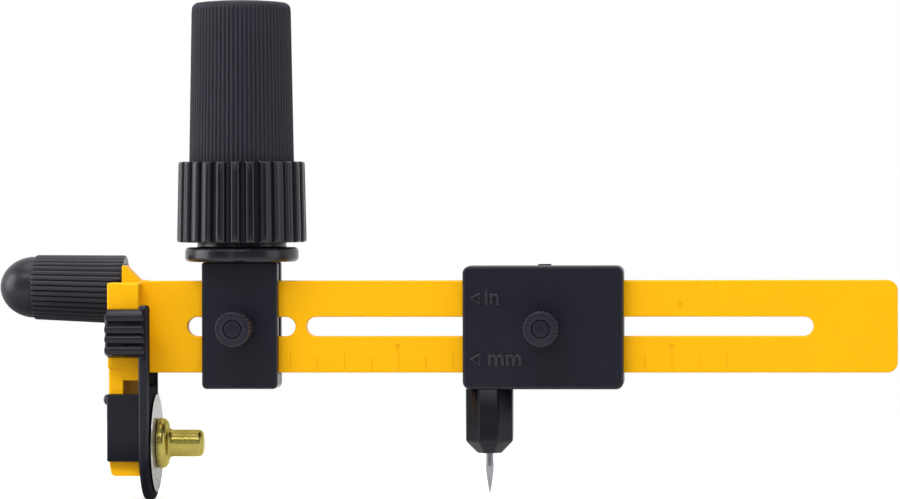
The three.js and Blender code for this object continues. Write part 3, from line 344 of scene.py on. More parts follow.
def turned(bm, outline, steps, close=False, rim=None):
    # spins an outline of (radius, height) round Z; rim(turn, radius, height) gives a point its new radius
    old = set(bm.verts)
    verts = [bm.verts.new((r * mm, 0, h * mm)) for r, h in outline]
    edges = [bm.edges.new(pair) for pair in zip(verts, verts[1:] + (verts[:1] if close else []))]
    bmesh.ops.spin(bm, geom=verts + edges, cent=(0, 0, 0), axis=(0, 0, 1), angle=fullTurn, steps=steps,
                   use_merge=True)
    bmesh.ops.remove_doubles(bm, verts=[v for v in bm.verts if v not in old], dist=weld / 10)
    new = [v for v in bm.verts if v not in old]
    for v in new if rim else []:
        radius = math.hypot(v.co.x, v.co.y)
        if radius > weld:
            share = rim(math.atan2(v.co.y, v.co.x), radius / mm, v.co.z / mm) * mm / radius
            v.co.x *= share
            v.co.y *= share
    return new


def place(bm, verts, way, spot):  # lays a shape made on Z along an axis of the frame
    bmesh.ops.transform(bm, matrix=Matrix.Translation(Vector(spot) * mm) @ turnTo[way], verts=verts)


def bevel(bm, edges, width, steps, clamp=False, slide=False):
    bmesh.ops.bevel(bm, geom=edges, offset=width * mm, offset_type="OFFSET", affect="EDGES", segments=steps,
                    profile=0.5, material=-1, clamp_overlap=clamp, loop_slide=slide)


def extruded(bm, faces, step, keepFaces=True):
    grown = bmesh.ops.extrude_face_region(bm, geom=faces, use_keep_orig=keepFaces)["geom"]
    verts = [g for g in grown if isinstance(g, bmesh.types.BMVert)]
    bmesh.ops.translate(bm, vec=Vector(step) * mm, verts=verts)
    return grown


def edgesOver(bm, angle):  # edges that stick out by more than an angle in degrees
    return [e for e in bm.edges
            if len(e.link_faces) == 2 and math.degrees(e.calc_face_angle_signed(0)) > angle]


def isAt(value, level):
    return abs(value / mm - level) < onLevel


def middleOf(edge):
    return (edge.verts[0].co + edge.verts[1].co) / 2 / mm


def slab(bm, outlines, low, high, way, edge, steps=3):
    # flat outlines that may share edges, made thick from low to high along an axis, with rounded rims
    spread = {"y": lambda u, v, w: (u, w, v), "x": lambda u, v, w: (w, u, v)}[way]
    old = set(bm.verts)
    for outline in outlines:
        bm.faces.new([bm.verts.new(Vector(spread(u, v, low)) * mm) for u, v in outline])
    bmesh.ops.remove_doubles(bm, verts=[p for p in bm.verts if p not in old], dist=weld)
    flat = [f for f in bm.faces if f.verts[0] not in old]
    extruded(bm, flat, spread(0, 0, high - low))
    bmesh.ops.recalc_face_normals(bm, faces=[f for f in bm.faces if f.verts[0] not in old])
    if edge:
        rims = [e for e in bm.edges if e.verts[0] not in old and len(e.link_faces) == 2
                and math.degrees(e.calc_face_angle(0)) > steep / 2]
        bevel(bm, rims, edge, steps, clamp=True)
    return [p for p in bm.verts if p not in old]


def roundedBox(bm, x0, x1, y0, y1, z0, z1, edge, steps=3):
    made = bmesh.ops.create_cube(bm, size=mm)["verts"]
    bmesh.ops.scale(bm, vec=(x1 - x0, y1 - y0, z1 - z0), verts=made)
    bmesh.ops.translate(bm, vec=Vector(((x0 + x1) / 2, (y0 + y1) / 2, (z0 + z1) / 2)) * mm, verts=made)
    bevel(bm, list({e for p in made for e in p.link_edges}), edge, steps)  # each edge once


def show(name, data):
    thing = bpy.data.objects.new(name, data)
    bpy.context.scene.collection.objects.link(thing)
    return thing


def keep(bm, name, body, nodes, finish, sharp=32, weigh=True):
    v = keepValues
    bmesh.ops.remove_doubles(bm, verts=bm.verts, dist=weld)
    bmesh.ops.recalc_face_normals(bm, faces=bm.faces)
    rub = bm.verts.layers.float.new("rub")
    for p in bm.verts:  # outer edges only, and none of the points that bound a wide flat
        narrow = all(f.calc_area() < v["narrow"] * mm * max(e.calc_length() for e in f.edges)
                     for f in p.link_faces)
        turns = [e.calc_face_angle_signed(0) for e in p.link_edges if len(e.link_faces) == 2]
        p[rub] = min(1, max(0, sum(turns) * v["rub"])) if narrow else 0
    mesh = bpy.data.meshes.new(name)
    bm.to_mesh(mesh)
    bm.free()
    mesh.polygons.foreach_set("use_smooth", [True] * len(mesh.polygons))
    mesh.set_sharp_from_angle(angle=math.radians(sharp))
    mesh.materials.append(finishes[finish])
    piece = show(name, mesh)
    if weigh:
        weighted = piece.modifiers.new("normals", "WEIGHTED_NORMAL")
        weighted.keep_sharp = True
        weighted.weight = v["weight"]
    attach(piece, body)
    if nodes:
        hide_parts(*nodes)


def softened(name, node, body, finish, width, chosen):
    # a copy of a moulded node whose chosen edges get the small radius that a mould leaves
    bm = bmesh.new()
    bm.from_mesh(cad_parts[node].data)
    bmesh.ops.remove_doubles(bm, verts=bm.verts, dist=weld * 2)
    bmesh.ops.dissolve_limit(bm, angle_limit=math.radians(0.6), verts=bm.verts, edges=bm.edges)
    bm.normal_update()
    rims = [e for e in edgesOver(bm, 28) if e.calc_length() > width * mm / 2 and chosen(middleOf(e))]
    bevel(bm, rims, width, 3, slide=True)
    keep(bm, name, body, [node], finish, sharp=50)


def shell(name, node, body, v):
    # a front moulding: its section runs along X, then its corners, its face and its seams are rounded
    bm = bmesh.new()
    slab(bm, [v["section"]], v["left"], v["right"], "x", 0)
    front = min(y for y, z in v["section"])
    for level, radius in v["corners"]:
        posts = [e for e in edgesOver(bm, steep) if all(isAt(p.co.z, level) for p in e.verts)
                 and abs(e.verts[0].co.x - e.verts[1].co.x) < weld]
        bevel(bm, posts, radius, 8)
    bevel(bm, [e for e in edgesOver(bm, steep) if all(isAt(p.co.y, front) for p in e.verts)], v["edge"], 4)
    bevel(bm, edgesOver(bm, steep), v["seam"], 2)
    keep(bm, name, body, [node], "satinBlack", sharp=40)


def backPlate(name, node, body, v):
    # a flat back with holes on a few levels: the outlines between two levels share edges
    bm = bmesh.new()
    left, right, low, high = v["left"], v["right"], v["low"], v["high"]
    nut, rise = v["nut"], v["nut"] * 0.866
    shapes = {"nut": [(-nut, 0), (-nut / 2, rise), (nut / 2, rise), (nut, 0)],
              "screw": arc(0, 0, v["screw"], 180, 0, 14)}

    def row(level, way):  # a level's path from left to right, over its holes or under them
        path = [(left, level)]
        for x, kind in v["rows"][level]:
            path += [(x + a, level + b * way) for a, b in shapes[kind]]
        return path + [(right, level)]

    levels = sorted(v["rows"], reverse=True)
    top, foot = v["topCorner"], v["footCorner"]
    outlines = [row(levels[0], 1) + arc(right - top, high - top, top, 0, 90)
                + arc(left + top, high - top, top, 90, 180)]
    outlines += [row(upper, -1) + row(lower, 1)[::-1] for upper, lower in zip(levels, levels[1:])]
    outlines.append(row(levels[-1], -1) + arc(right - foot, low + foot, foot, 0, -90)
                    + arc(left + foot, low + foot, foot, 270, 180))
    apart = [[p for i, p in enumerate(points) if math.dist(p, points[i - 1]) > onLevel / 2]
             for points in outlines]
    slab(bm, apart, v["front"], v["rear"], "y", 0)
    holes = [(x, level, v[kind] * 1.04) for level, spots in v["rows"].items() for x, kind in spots]
    rims = [e for e in edgesOver(bm, steep)
            if all(math.dist(middleOf(e).xz, (x, z)) > reach for x, z, reach in holes)]
    bevel(bm, rims, v["edge"], 3)
    if "clip" in v:
        roundedBox(bm, *v["clip"], 0.1, 2)
    keep(bm, name, body, [node], "satinBlack", sharp=40)


armValues = {"left": -5.4, "reach": 135.75, "top": 8.425, "corner": 1.9, "thick": 3, "edge": 0.26,
             "slotHalf": 1.775, "slots": [(5.8, 25.72), (27.7, 120.48)], "headLeft": -8.32,
             "headRight": -2.49, "block": (-8.3, -2.7, 3.23, 8.18), "blockEdge": 0.4,
             "step": (-7.8, -2.7, -7.54, 3.4), "stepEdge": 0.3, "stemFront": -7.3, "stemRear": 2.7,
             "stemLeft": -8.19, "stemTop": -2, "stemEdge": 0.3, "draftStart": -24.48, "draft": 0.35,
             "stemBottom": -27.2, "foot": 0.9, "stemRound": 0.75, "window": (-5.49, -16, -9.7),
             "windowBack": -3.7, "windowRim": 0.16, "overlap": 0.4, "gusset": (-6.3, 2.55, -5.6, 11.25),
             "gussetThick": 3.6, "gussetEdge": 0.22, "gussetDrop": 0.5, "rootFront": -1, "rootRear": 8.3,
             "rootEdge": 0.3, "rootDrop": 0.02, "pegSpot": (4, 6.85), "peg": [(0, -18.3), (3.9, -18.3),
                                                                              (4.3, -17.9), (4.5, -16.7),
                                                                              (4.3, -15.9), (4.3, -6),
                                                                              (4.1, -5.8), (0, -5.8)]}


def makeArm():
    v = armValues
    bm = bmesh.new()
    halves = []
    r, c = v["slotHalf"], v["corner"]
    for side in (1, -1):
        outline = [(v["left"], 0)]
        for start, end in v["slots"]:
            outline += arc(start + r, 0, r, 180, 90, 10) + arc(end - r, 0, r, 90, 0, 10)
        outline += [(v["reach"], 0)] + arc(v["reach"] - c, v["top"] - c, c, 0, 90, 10) + [(v["left"], v["top"])]
        halves.append([(x, z * side) for x, z in outline][::side])
    slab(bm, halves, -v["thick"], 0, "y", v["edge"])
    left, right = v["headLeft"], v["headRight"]
    roundedBox(bm, left, right, *v["block"], v["blockEdge"], 4)
    roundedBox(bm, left, right, *v["step"], v["stepEdge"])
    # stem: a full back layer and a front layer with the window's notch
    low, foot = v["stemBottom"], v["foot"]
    edge = [(v["stemLeft"], v["stemTop"]), (v["stemLeft"], v["draftStart"])]
    edge += arc(v["stemLeft"] + v["draft"] + foot, low + foot, foot, 180, 270)
    outline = edge + [(right, low), (right, v["stemTop"])]
    slab(bm, [outline], v["windowBack"], v["stemRear"], "y", v["stemEdge"])
    inner, floor, roof = v["window"]
    notch = [(right, low), (right, floor), (inner, floor), (inner, roof), (right, roof), (right, v["stemTop"])]
    layer = slab(bm, [edge + notch], v["stemFront"], v["windowBack"] + v["overlap"], "y", 0)
    side = [e for e in {e for p in layer for e in p.link_edges}
            if all(isAt(p.co.y, v["stemFront"]) and p.co.x / mm < v["stemLeft"] + 0.1 for p in e.verts)]
    bevel(bm, side, v["stemRound"], 5, clamp=True)
    around = [(inner, floor), (inner, roof), (right, roof)]
    rims = [e for e in bm.edges if all(isAt(p.co.y, v["stemFront"]) for p in e.verts)
            and all(any(math.dist(p.co.xz / mm, spot) < onLevel for spot in around) for p in e.verts)]
    bevel(bm, rims, v["windowRim"], 3)
    # gusset with its slope, the root behind it and the peg
    x, z, flat, high = v["gusset"]
    top, thick = v["top"], v["thick"]
    slope = [(x, z), (right, z), (right, top - v["gussetDrop"]), (flat + high - top, top), (flat, high),
             (x, high)]
    slab(bm, [slope], -thick, v["gussetThick"] - thick, "y", v["gussetEdge"])
    root = [(x, z), (right, z), (right, top - v["rootDrop"]), (x, top - v["rootDrop"])]
    slab(bm, [root], v["rootFront"], v["rootRear"], "y", v["rootEdge"])
    place(bm, turned(bm, v["peg"], 48), "x", (0, *v["pegSpot"]))
    keep(bm, "armBody", "arm", ["arm"], "yellow", sharp=40)


makeArm()
print("arm made")


guardValues = {"left": -2.19, "right": -0.35, "radius": 10.5, "top": 4.18, "front": 3.35, "crotch": -10.975,
               "round": 1, "crotchRound": 1.2, "rearInside": 0.4, "rearOutside": 3.1, "rearTop": -2.2,
               "edge": 0.78, "wallLeft": -8.32, "wallRight": -1.3, "walls": [(-9.1, -7.6), (3, 4.5)],
               "wallLow": -24.48, "wallHigh": -12.1, "wallEdge": 0.32, "padLeft": -8.29, "padRight": -0.84,
               "padBack": -8.6, "padFront": -13, "padTop": 3.5, "padBottom": -5.53,
               "padShoulder": [(1.5, -0.05), (1.1, -0.3)], "padChin": (1.3, 0.15),
               "crests": (1.95, -0.25, -2.05, -4.0), "rib": 0.9, "ridge": 0.8, "ridgeSpan": (0.85, 0.95),
               "ridgeSteps": 60, "padEdge": 0.55, "bulge": 0.3, "bulgeDepth": 1.4}


def makeGuard():
    v = guardValues
    bm = bmesh.new()
    r, c, t = v["radius"], v["round"], v["crotchRound"]
    climb = math.degrees(math.acos((v["rearOutside"] - midY) / r))
    start = midY - r
    front = start + v["front"]
    outline = arc(midY, bladeZ, r, 180, 360 + climb, 72)
    outline += arc(v["rearOutside"] - c, v["rearTop"] - c, c, 0, 90, 6)
    outline += arc(v["rearInside"] + c, v["rearTop"] - c, c, 90, 180, 6) + [(v["rearInside"], v["crotch"])]
    outline += arc(front + t, v["crotch"] + t, t, 270, 180, 5) + arc(front - c, v["top"] - c, c, 0, 90, 6)
    outline += arc(start + c, v["top"] - c, c, 90, 180, 6)
    slab(bm, [outline], v["left"], v["right"], "x", v["edge"], 4)
    for wall in v["walls"]:
        roundedBox(bm, v["wallLeft"], v["wallRight"], *wall, v["wallLow"], v["wallHigh"], v["wallEdge"])
    # thumb pad: round ridges across it, its two ends drawn in
    top, low, back, face = v["padTop"], v["padBottom"], v["padBack"], v["padFront"]

    def groove(z):  # 0 on a ridge's crest, 1 between two ridges
        return 1 - max(math.sqrt(max(0, 1 - ((z - crest) / v["rib"]) ** 2)) for crest in v["crests"])

    profile = [(back, low), (back, top)] + [(face + a, top + b) for a, b in v["padShoulder"]]
    above, below = v["ridgeSpan"]
    start, end = v["crests"][0] + v["rib"] * above, v["crests"][-1] - v["rib"] * below
    levels = [start + (end - start) * i / v["ridgeSteps"] for i in range(v["ridgeSteps"] + 1)]
    profile += [(face + v["ridge"] * groove(z), z) for z in levels]
    profile += [(face + v["padChin"][0], low + v["padChin"][1])]
    e = v["padEdge"]
    old = set(bm.verts)
    leftEnd = bm.faces.new([bm.verts.new(Vector((v["padLeft"] + e, a, b)) * mm) for a, b in profile])
    grown = extruded(bm, [leftEnd], (v["padRight"] - v["padLeft"] - 2 * e, 0, 0))
    rightEnd = [g for g in grown if isinstance(g, bmesh.types.BMFace)][0]
    bmesh.ops.recalc_face_normals(bm, faces=[f for f in bm.faces if f.verts[0] not in old])
    for end, way in ((leftEnd, -1), (rightEnd, 1)):
        for a, b in ((0, 30), (30, 60), (60, 90)):
            inset = e * (math.cos(math.radians(a)) - math.cos(math.radians(b)))
            shift = e * (math.sin(math.radians(b)) - math.sin(math.radians(a)))
            bmesh.ops.inset_region(bm, faces=[end], thickness=inset * mm, use_even_offset=True,
                                   use_boundary=True)
            bmesh.ops.translate(bm, vec=(way * shift * mm, 0, 0), verts=end.verts)
    middle = (v["padLeft"] + v["padRight"]) / 2
    for p in bm.verts:  # the ridges' ends stand out a little, the grooves' ends sink in
        if p not in old and p.co.y < (face + v["bulgeDepth"]) * mm:
            sunk = v["bulge"] * min(1, groove(p.co.z / mm)) / (middle - v["padLeft"])
            p.co.x = (middle + (p.co.x / mm - middle) * (1 - sunk)) * mm
    keep(bm, "guardBody", "guard", ["blade_guard"], "guardBlack", sharp=44)


bladeAxis = (0, midY, bladeZ)
bladeValues = {"radius": 9, "bore": 2.55, "half": 0.15, "bevel": 0.7, "edge": 0.02, "boreEdge": 0.02}


def makeBlade():
    v = bladeValues
    bm = bmesh.new()
    bore, half, edge, rim = v["bore"], v["half"], v["edge"], v["boreEdge"]
    flat = v["radius"] - v["bevel"]
    outline = [(bore, -half + rim), (bore + rim, -half), (flat, -half), (v["radius"], -edge),
               (v["radius"], edge), (flat, half), (bore + rim, half), (bore, half - rim)]
    place(bm, turned(bm, outline, 160, close=True), "x", bladeAxis)
    keep(bm, "bladeDisc", "blade", ["blade"], "bladeSteel", sharp=3, weigh=False)


nutValues = {"flange": 4.6, "start": 0.25, "flangeEnd": 2.11, "crown": 1.12, "stem": 2.48, "fillet": 0.95,
             "end": 8.6, "round": 0.9, "spigot": 2.45, "spigotStart": -0.14, "bore": 1.65, "mouth": 0.15,
             "floor": 7.72, "rim": 0.25}


def makeNut():
    v = nutValues
    bm = bmesh.new()
    bore, rim, back = v["bore"], v["rim"], v["spigotStart"]
    outline = [(0, v["floor"]), (bore, v["floor"]), (bore, 0), (bore + v["mouth"], back), (v["spigot"], back),
               (v["spigot"], v["start"]), (v["flange"] - rim, v["start"])]
    outline += arc(v["flange"] - rim, v["start"] + rim, rim, -90, 0, 4)[1:]
    outline += arc(v["flange"] - v["crown"], v["flangeEnd"] - v["crown"], v["crown"], 0, 78, 10)
    outline += arc(v["stem"] + v["fillet"], v["flangeEnd"] + v["fillet"], v["fillet"], 258, 180, 8)
    outline += arc(v["stem"] - v["round"], v["end"] - v["round"], v["round"], 0, 90, 8)
    outline += [(0, v["end"])]
    place(bm, turned(bm, outline, 96), "x", bladeAxis)
    keep(bm, "bladeNut", "nut", ["blade_nut"], "brass", sharp=40, weigh=False)


pinValues = {"radius": 1.02, "face": -8.19, "stand": 1.0, "sunk": 0.1, "dome": 0.75, "end": -0.75,
             "inner": 0.95, "height": -13.48}


def makeStopPin():
    v = pinValues
    bm = bmesh.new()
    start, face = v["face"] - v["stand"], v["face"] - v["sunk"]
    outline = [(v["radius"] * math.sin(math.radians(a)), start - v["dome"] * math.cos(math.radians(a)))
               for a in range(0, 91, 10)]
    outline += [(v["radius"], face), (v["inner"], face), (v["inner"], v["end"]), (0, v["end"])]
    place(bm, turned(bm, outline, 40), "x", (0, midY, v["height"]))
    keep(bm, "stopPin", "arm", ["guard_stop_pin"], "glossBlack", weigh=False)


makeGuard()
makeBlade()
makeNut()
makeStopPin()
print("blade head made")


capValues = {"mouth": -6.6, "shoulder": -23.35, "end": -29.85, "dome": 5.68, "narrow": 5.98, "wide": 6.35,
             "ribs": 36, "depth": 0.38, "valley": 0.8, "tilt": 1.6, "axis": (4, 6.85), "bore": 4.85,
             "lead": 0.3, "floor": -18.6, "pocket": 1.4, "pocketEnd": -24.1}


def makeCap():
    v = capValues
    bm = bmesh.new()
    mouth, shoulder, bore, dome = v["mouth"], v["shoulder"], v["bore"], v["dome"]
    narrow, wide = v["narrow"], v["wide"]

    def wall(height):
        return narrow + (wide - narrow) * (height - shoulder) / (mouth - shoulder)

    outline = [(0, v["pocketEnd"]), (v["pocket"], v["pocketEnd"]), (v["pocket"], v["floor"]),
               (bore, v["floor"]), (bore, mouth - v["lead"]), (bore + v["lead"], mouth),
               (wide - 0.25, mouth), (wide - 0.08, mouth - 0.08), (wide, mouth - 0.25)]
    outline += [(wall(height), height) for height in (mouth - 6, mouth - 12, shoulder + 0.5)]
    outline += [(narrow - 0.05, shoulder + 0.2), (narrow - 0.2, shoulder + 0.02), (dome - 0.02, shoulder)]
    outline += [(dome * math.cos(math.radians(a)), shoulder - (shoulder - v["end"]) * math.sin(math.radians(a)))
                for a in range(8, 89, 8)]
    outline += [(0, v["end"])]

    def rib(turn, radius, height):
        if height < shoulder + 0.015 or radius < bore + 0.4:
            return radius
        valley = 1 - abs(math.cos(turn * v["ribs"] / 2)) ** v["valley"]
        return min(radius, wall(height) - v["depth"] * valley)

    place(bm, turned(bm, outline, v["ribs"] * 12, rim=rib), "x", (0, *v["axis"]))
    # it hangs a little askew on its peg, as far as the peg's clearance lets it
    middle = Vector(((mouth + v["floor"]) / 2, *v["axis"])) * mm
    bmesh.ops.rotate(bm, cent=middle, matrix=Matrix.Rotation(math.radians(v["tilt"]), 3, "Y"), verts=bm.verts)
    keep(bm, "capShell", "cap", ["needle_cap"], "capBlack", sharp=46, weigh=False)


makeCap()
print("cap made")


knobValues = {"stand": 12.4, "head": 5, "radius": 3.2, "shank": 2.9, "bore": 1.55, "teeth": 24, "depth": 0.22,
              "crest": 1.5, "recess": 1.64, "recessDepth": 0.9, "insert": 1.49, "insertEdge": 0.12,
              "insertDrop": 0.02, "edge": 0.45, "wall": 1}


def makeKnob(side, x, face):
    v = knobValues
    radius, edge, recess, bore, shank = v["radius"], v["edge"], v["recess"], v["bore"], v["shank"]
    base, top = -face + 0.1, -face + v["stand"]
    head = top - v["head"]
    floor = top - v["recessDepth"]
    outline = [(0, floor), (recess, floor), (recess, top - 0.12), (recess + 0.1, top)]
    outline += arc(radius - edge, top - edge, edge, 90, 0, 5) + arc(radius - edge, head + edge, edge, 0, -70, 4)
    outline += [(shank, head), (shank, base + 0.15), (shank - 0.12, base), (bore, base),
                (bore, floor - v["wall"]), (0, floor - v["wall"])]

    def knurl(turn, reach, height):
        if height < head + 0.01 or reach < radius - 0.5:
            return reach
        phase = (turn * v["teeth"] / fullTurn) % 1
        return min(reach, radius - v["depth"] * abs(phase * 2 - 1) ** v["crest"])

    bm = bmesh.new()
    place(bm, turned(bm, outline, v["teeth"] * 10, rim=knurl), "front", (x, 0, 0))
    keep(bm, side + "Knob", side + "_knob", [side + "_knob"], "satinBlack", sharp=40, weigh=False)
    low, high, soft = floor + 0.05, top - v["insertDrop"], v["insertEdge"]
    outline = [(0, low), (v["insert"], low), *arc(v["insert"] - soft, high - soft, soft, 0, 90, 4), (0, high)]
    bm = bmesh.new()
    place(bm, turned(bm, outline, 64), "front", (x, 0, 0))
    keep(bm, side + "KnobInsert", side + "_knob", [side + "_knob_insert"], "satinBlack", weigh=False)


makeKnob("holder", holderX, holderFace)
makeKnob("carriage", carriageX, carriageFace)
print("knobs made")


holderValues = {"left": 8.81, "right": 22.71, "edge": 0.4, "seam": 0.18,
                "corners": ((-11.325, 0.9), (11.87, 0.5)), "section": [(holderFace, -11.325), (0.15, -11.325),
                                                                       (0.15, -8.62), (-3.15, -8.62),
                                                                       (-3.15, 11.87), (holderFace, 11.87)]}
holderBackValues = {"left": 8.81, "right": 22.71, "low": -11.325, "high": 11.87, "front": 0.2, "rear": 2.55,
                    "edge": 0.35, "topCorner": 0.5, "footCorner": 0.9, "screw": 1.2, "nut": 3.35,
                    "rows": {10.147: [(holderX, "screw")], 0: [(holderX, "nut")],
                             -9.875: [(holderX, "screw")]}}
flangeValues = {"radius": 10.42, "base": 11.92, "top": 14.59, "edge": 0.75, "neck": 8.2, "neckTop": 16.39,
                "fillet": 0.2, "neckEdge": 0.1, "bore": 2.6, "boreFloor": 12.52, "tongueWidth": 8,
                "tongueThick": 2.8, "tongueLow": 8.7, "tongueSunk": 0.4, "tongueEdge": 0.25}


def makeFlange():
    v = flangeValues
    bm = bmesh.new()
    base, edge, fillet, neck, roof = v["base"], v["edge"], v["fillet"], v["neck"], v["neckTop"]
    across = v["radius"] - edge
    outline = [(0, base), (across, base)] + arc(across, base + edge, edge, -90, 0, 7)[1:]
    outline += arc(across, v["top"] - edge, edge, 0, 90, 7)
    outline += arc(neck + fillet, v["top"] + fillet, fillet, 270, 180, 4)
    outline += [(neck, roof - v["neckEdge"]), (neck - v["neckEdge"], roof), (v["bore"], roof),
                (v["bore"], v["boreFloor"]), (0, v["boreFloor"])]
    place(bm, turned(bm, outline, 128), "z", (holderX, midY, 0))
    halfWidth, halfThick = v["tongueWidth"] / 2, v["tongueThick"] / 2
    roundedBox(bm, holderX - halfWidth, holderX + halfWidth, midY - halfThick, midY + halfThick,
               v["tongueLow"], base + v["tongueSunk"], v["tongueEdge"], 2)
    keep(bm, "gripFlange", "holder", ["grip_flange"], "glossBlack", weigh=False)


shell("holderFront", "holder_front", "holder", holderValues)
backPlate("holderBack", "holder_back", "holder", holderBackValues)
makeFlange()
print("grip holder made")


collarValues = {"base": 15.5, "roof": 30.3, "low": 11.91, "high": 11.6, "teeth": 26, "depth": 0.85,
                "edge": 0.5, "crown": 0.06, "crest": 0.2, "flank": 0.2, "chamber": 10, "chamberRoof": 21.7,
                "web": 24.3, "bearing": 2.6, "seat": 9.82, "inset": 0.6, "lead": 0.2}


def makeCollar():
    v = collarValues
    bm = bmesh.new()
    base, roof, low, high, e, lead = v["base"], v["roof"], v["low"], v["high"], v["edge"], v["lead"]
    chamber, seat, inset = v["chamber"], v["seat"], v["inset"]

    def wall(height):
        return low + (high - low) * (height - base) / (roof - base)

    outline = [(v["bearing"], v["chamberRoof"]), (chamber, v["chamberRoof"]), (chamber, base + lead),
               (chamber + lead, base), (low - e - inset, base)]
    outline += arc(low - e, base + e, e, -90, -5, 5)
    outline += [(wall(height), height) for height in (base + 2, base + 5, base + 9, roof - 2)]
    outline += arc(high - e, roof - e, e, 5, 90, 5)
    outline += [(high - e - inset, roof), (seat + lead, roof), (seat, roof - lead), (seat, v["web"]),
                (v["bearing"], v["web"])]

    def tooth(turn, radius, height):
        if radius < chamber + 0.35:
            return radius
        phase = abs((turn * v["teeth"] / fullTurn) % 1 - 0.5)
        drop = min(1, max(0, (phase - v["crest"]) / v["flank"]))
        drop = drop * drop * (3 - 2 * drop)
        crown = min(1, (phase / v["crest"]) ** 2) * v["crown"]
        return min(radius, wall(height) - crown - (v["depth"] - v["crown"]) * drop)

    place(bm, turned(bm, outline, v["teeth"] * 16, close=True, rim=tooth), "z", (holderX, midY, 0))
    keep(bm, "gripCollar", "grip", ["grip_collar"], "glossBlack", sharp=42, weigh=False)


sleeveValues = {"foot": 27.7, "top": 59.93, "dome": 0.45, "crown": 1.25, "edge": 1.3, "low": 9.67,
                "high": 9.08, "ribs": 72, "depth": 0.27, "groove": 1.6, "rings": (31, 36, 42, 48, 54),
                "inner": 8.05, "roof": 57.48, "lead": (2.6, 1.1), "footEdge": 0.1}


def makeSleeve():
    v = sleeveValues
    bm = bmesh.new()
    foot, top, low, high, inner, e = v["foot"], v["top"], v["low"], v["high"], v["inner"], v["edge"]
    shoulder = top - v["dome"]
    ribTop = shoulder - e * 0.35

    def wall(height):
        return low + (high - low) * (height - foot) / (top - foot)

    rise, inset = v["lead"]
    outline = [(0, v["roof"]), (inner, v["roof"]), (inner, foot + rise), (low - inset, foot),
               (low - v["footEdge"], foot), (low, foot + v["footEdge"])]
    outline += [(wall(height), height) for height in (*v["rings"], shoulder - e - 0.6)]
    outline += arc(high - e, shoulder - e, e, 0, 84, 9)
    outline += [(high * s, top - v["dome"] * s * s * v["crown"]) for s in (0.75, 0.5, 0.25)] + [(0, top)]

    def rib(turn, radius, height):
        if radius < inner + 0.5 or height > ribTop:
            return radius
        fade = min(1, max(0, (ribTop - height) / (e * 0.9)))
        groove = 0.5 - 0.5 * math.cos(turn * v["ribs"])
        return radius - v["depth"] * fade * groove ** v["groove"]

    place(bm, turned(bm, outline, v["ribs"] * 8, rim=rib), "z", (holderX, midY, 0))
    keep(bm, "gripSleeve", "grip", ["grip_sleeve"], "rubberBlack", sharp=60, weigh=False)


makeCollar()
makeSleeve()
print("grip made")


carriageValues = {"left": 56.58, "right": 85.93, "edge": 0.55, "seam": 0.18,
                  "corners": ((-11.38, 1.4), (11.11, 1.4)), "section": [(carriageFace, -11.38),
                                                                        (0.15, -11.38), (0.15, -8.62),
                                                                        (-3.15, -8.62), (-3.15, 8.62),
                                                                        (0.15, 8.62), (0.15, 11.11),
                                                                        (carriageFace, 11.11)]}
carriageBackValues = {"left": 56.58, "right": 85.93, "low": -11.38, "high": 11.11, "front": 0.2, "rear": 2.8,
                      "edge": 0.35, "topCorner": 1.3, "footCorner": 1.4, "screw": 1.2, "nut": 3.35,
                      "rows": {9.7675: [(59.68, "screw"), (82.83, "screw")], 0: [(carriageX, "nut")],
                               -9.9025: [(68.98, "screw"), (82.83, "screw")]},
                      "clip": (70.11, 72.51, 1.4, 2.8, 10.9, 11.36)}
tipValues = {"edge": 0.3, "below": -12, "socket": 1}


def tipEdge(middle):  # the needle holder's outer edges, but not those of the needle's socket
    away = math.hypot(middle.x - needleX, middle.y - midY)
    return middle.z < tipValues["below"] and away > tipValues["socket"]


needleValues = {"outline": [(0, -30.63), (0.05, -30.5), (0.16, -30), (0.3, -29.2), (0.44, -28.3),
                            (0.57, -27.4), (0.66, -26.6), (0.71, -25.9), (0.71, -25.4), (0.66, -24.8),
                            (0.66, -14.2), (0, -14.2)]}


def makeNeedle():
    bm = bmesh.new()
    place(bm, turned(bm, needleValues["outline"], 48), "z", (needleX, midY, 0))
    keep(bm, "needlePoint", "carriage", ["needle"], "needleSteel", sharp=60, weigh=False)


labelValues = {"rise": 0.26, "inch": (60.5, 4.1), "metric": (61.1, -7.0), "height": 3.1, "fontSize": 1.35,
               "pointer": 57.8, "pointerWidth": 2.1, "pointerHeight": 2.3, "pointerDrop": 0.4, "line": 0.34,
               "sunk": 0.05, "bevel": 0.1}


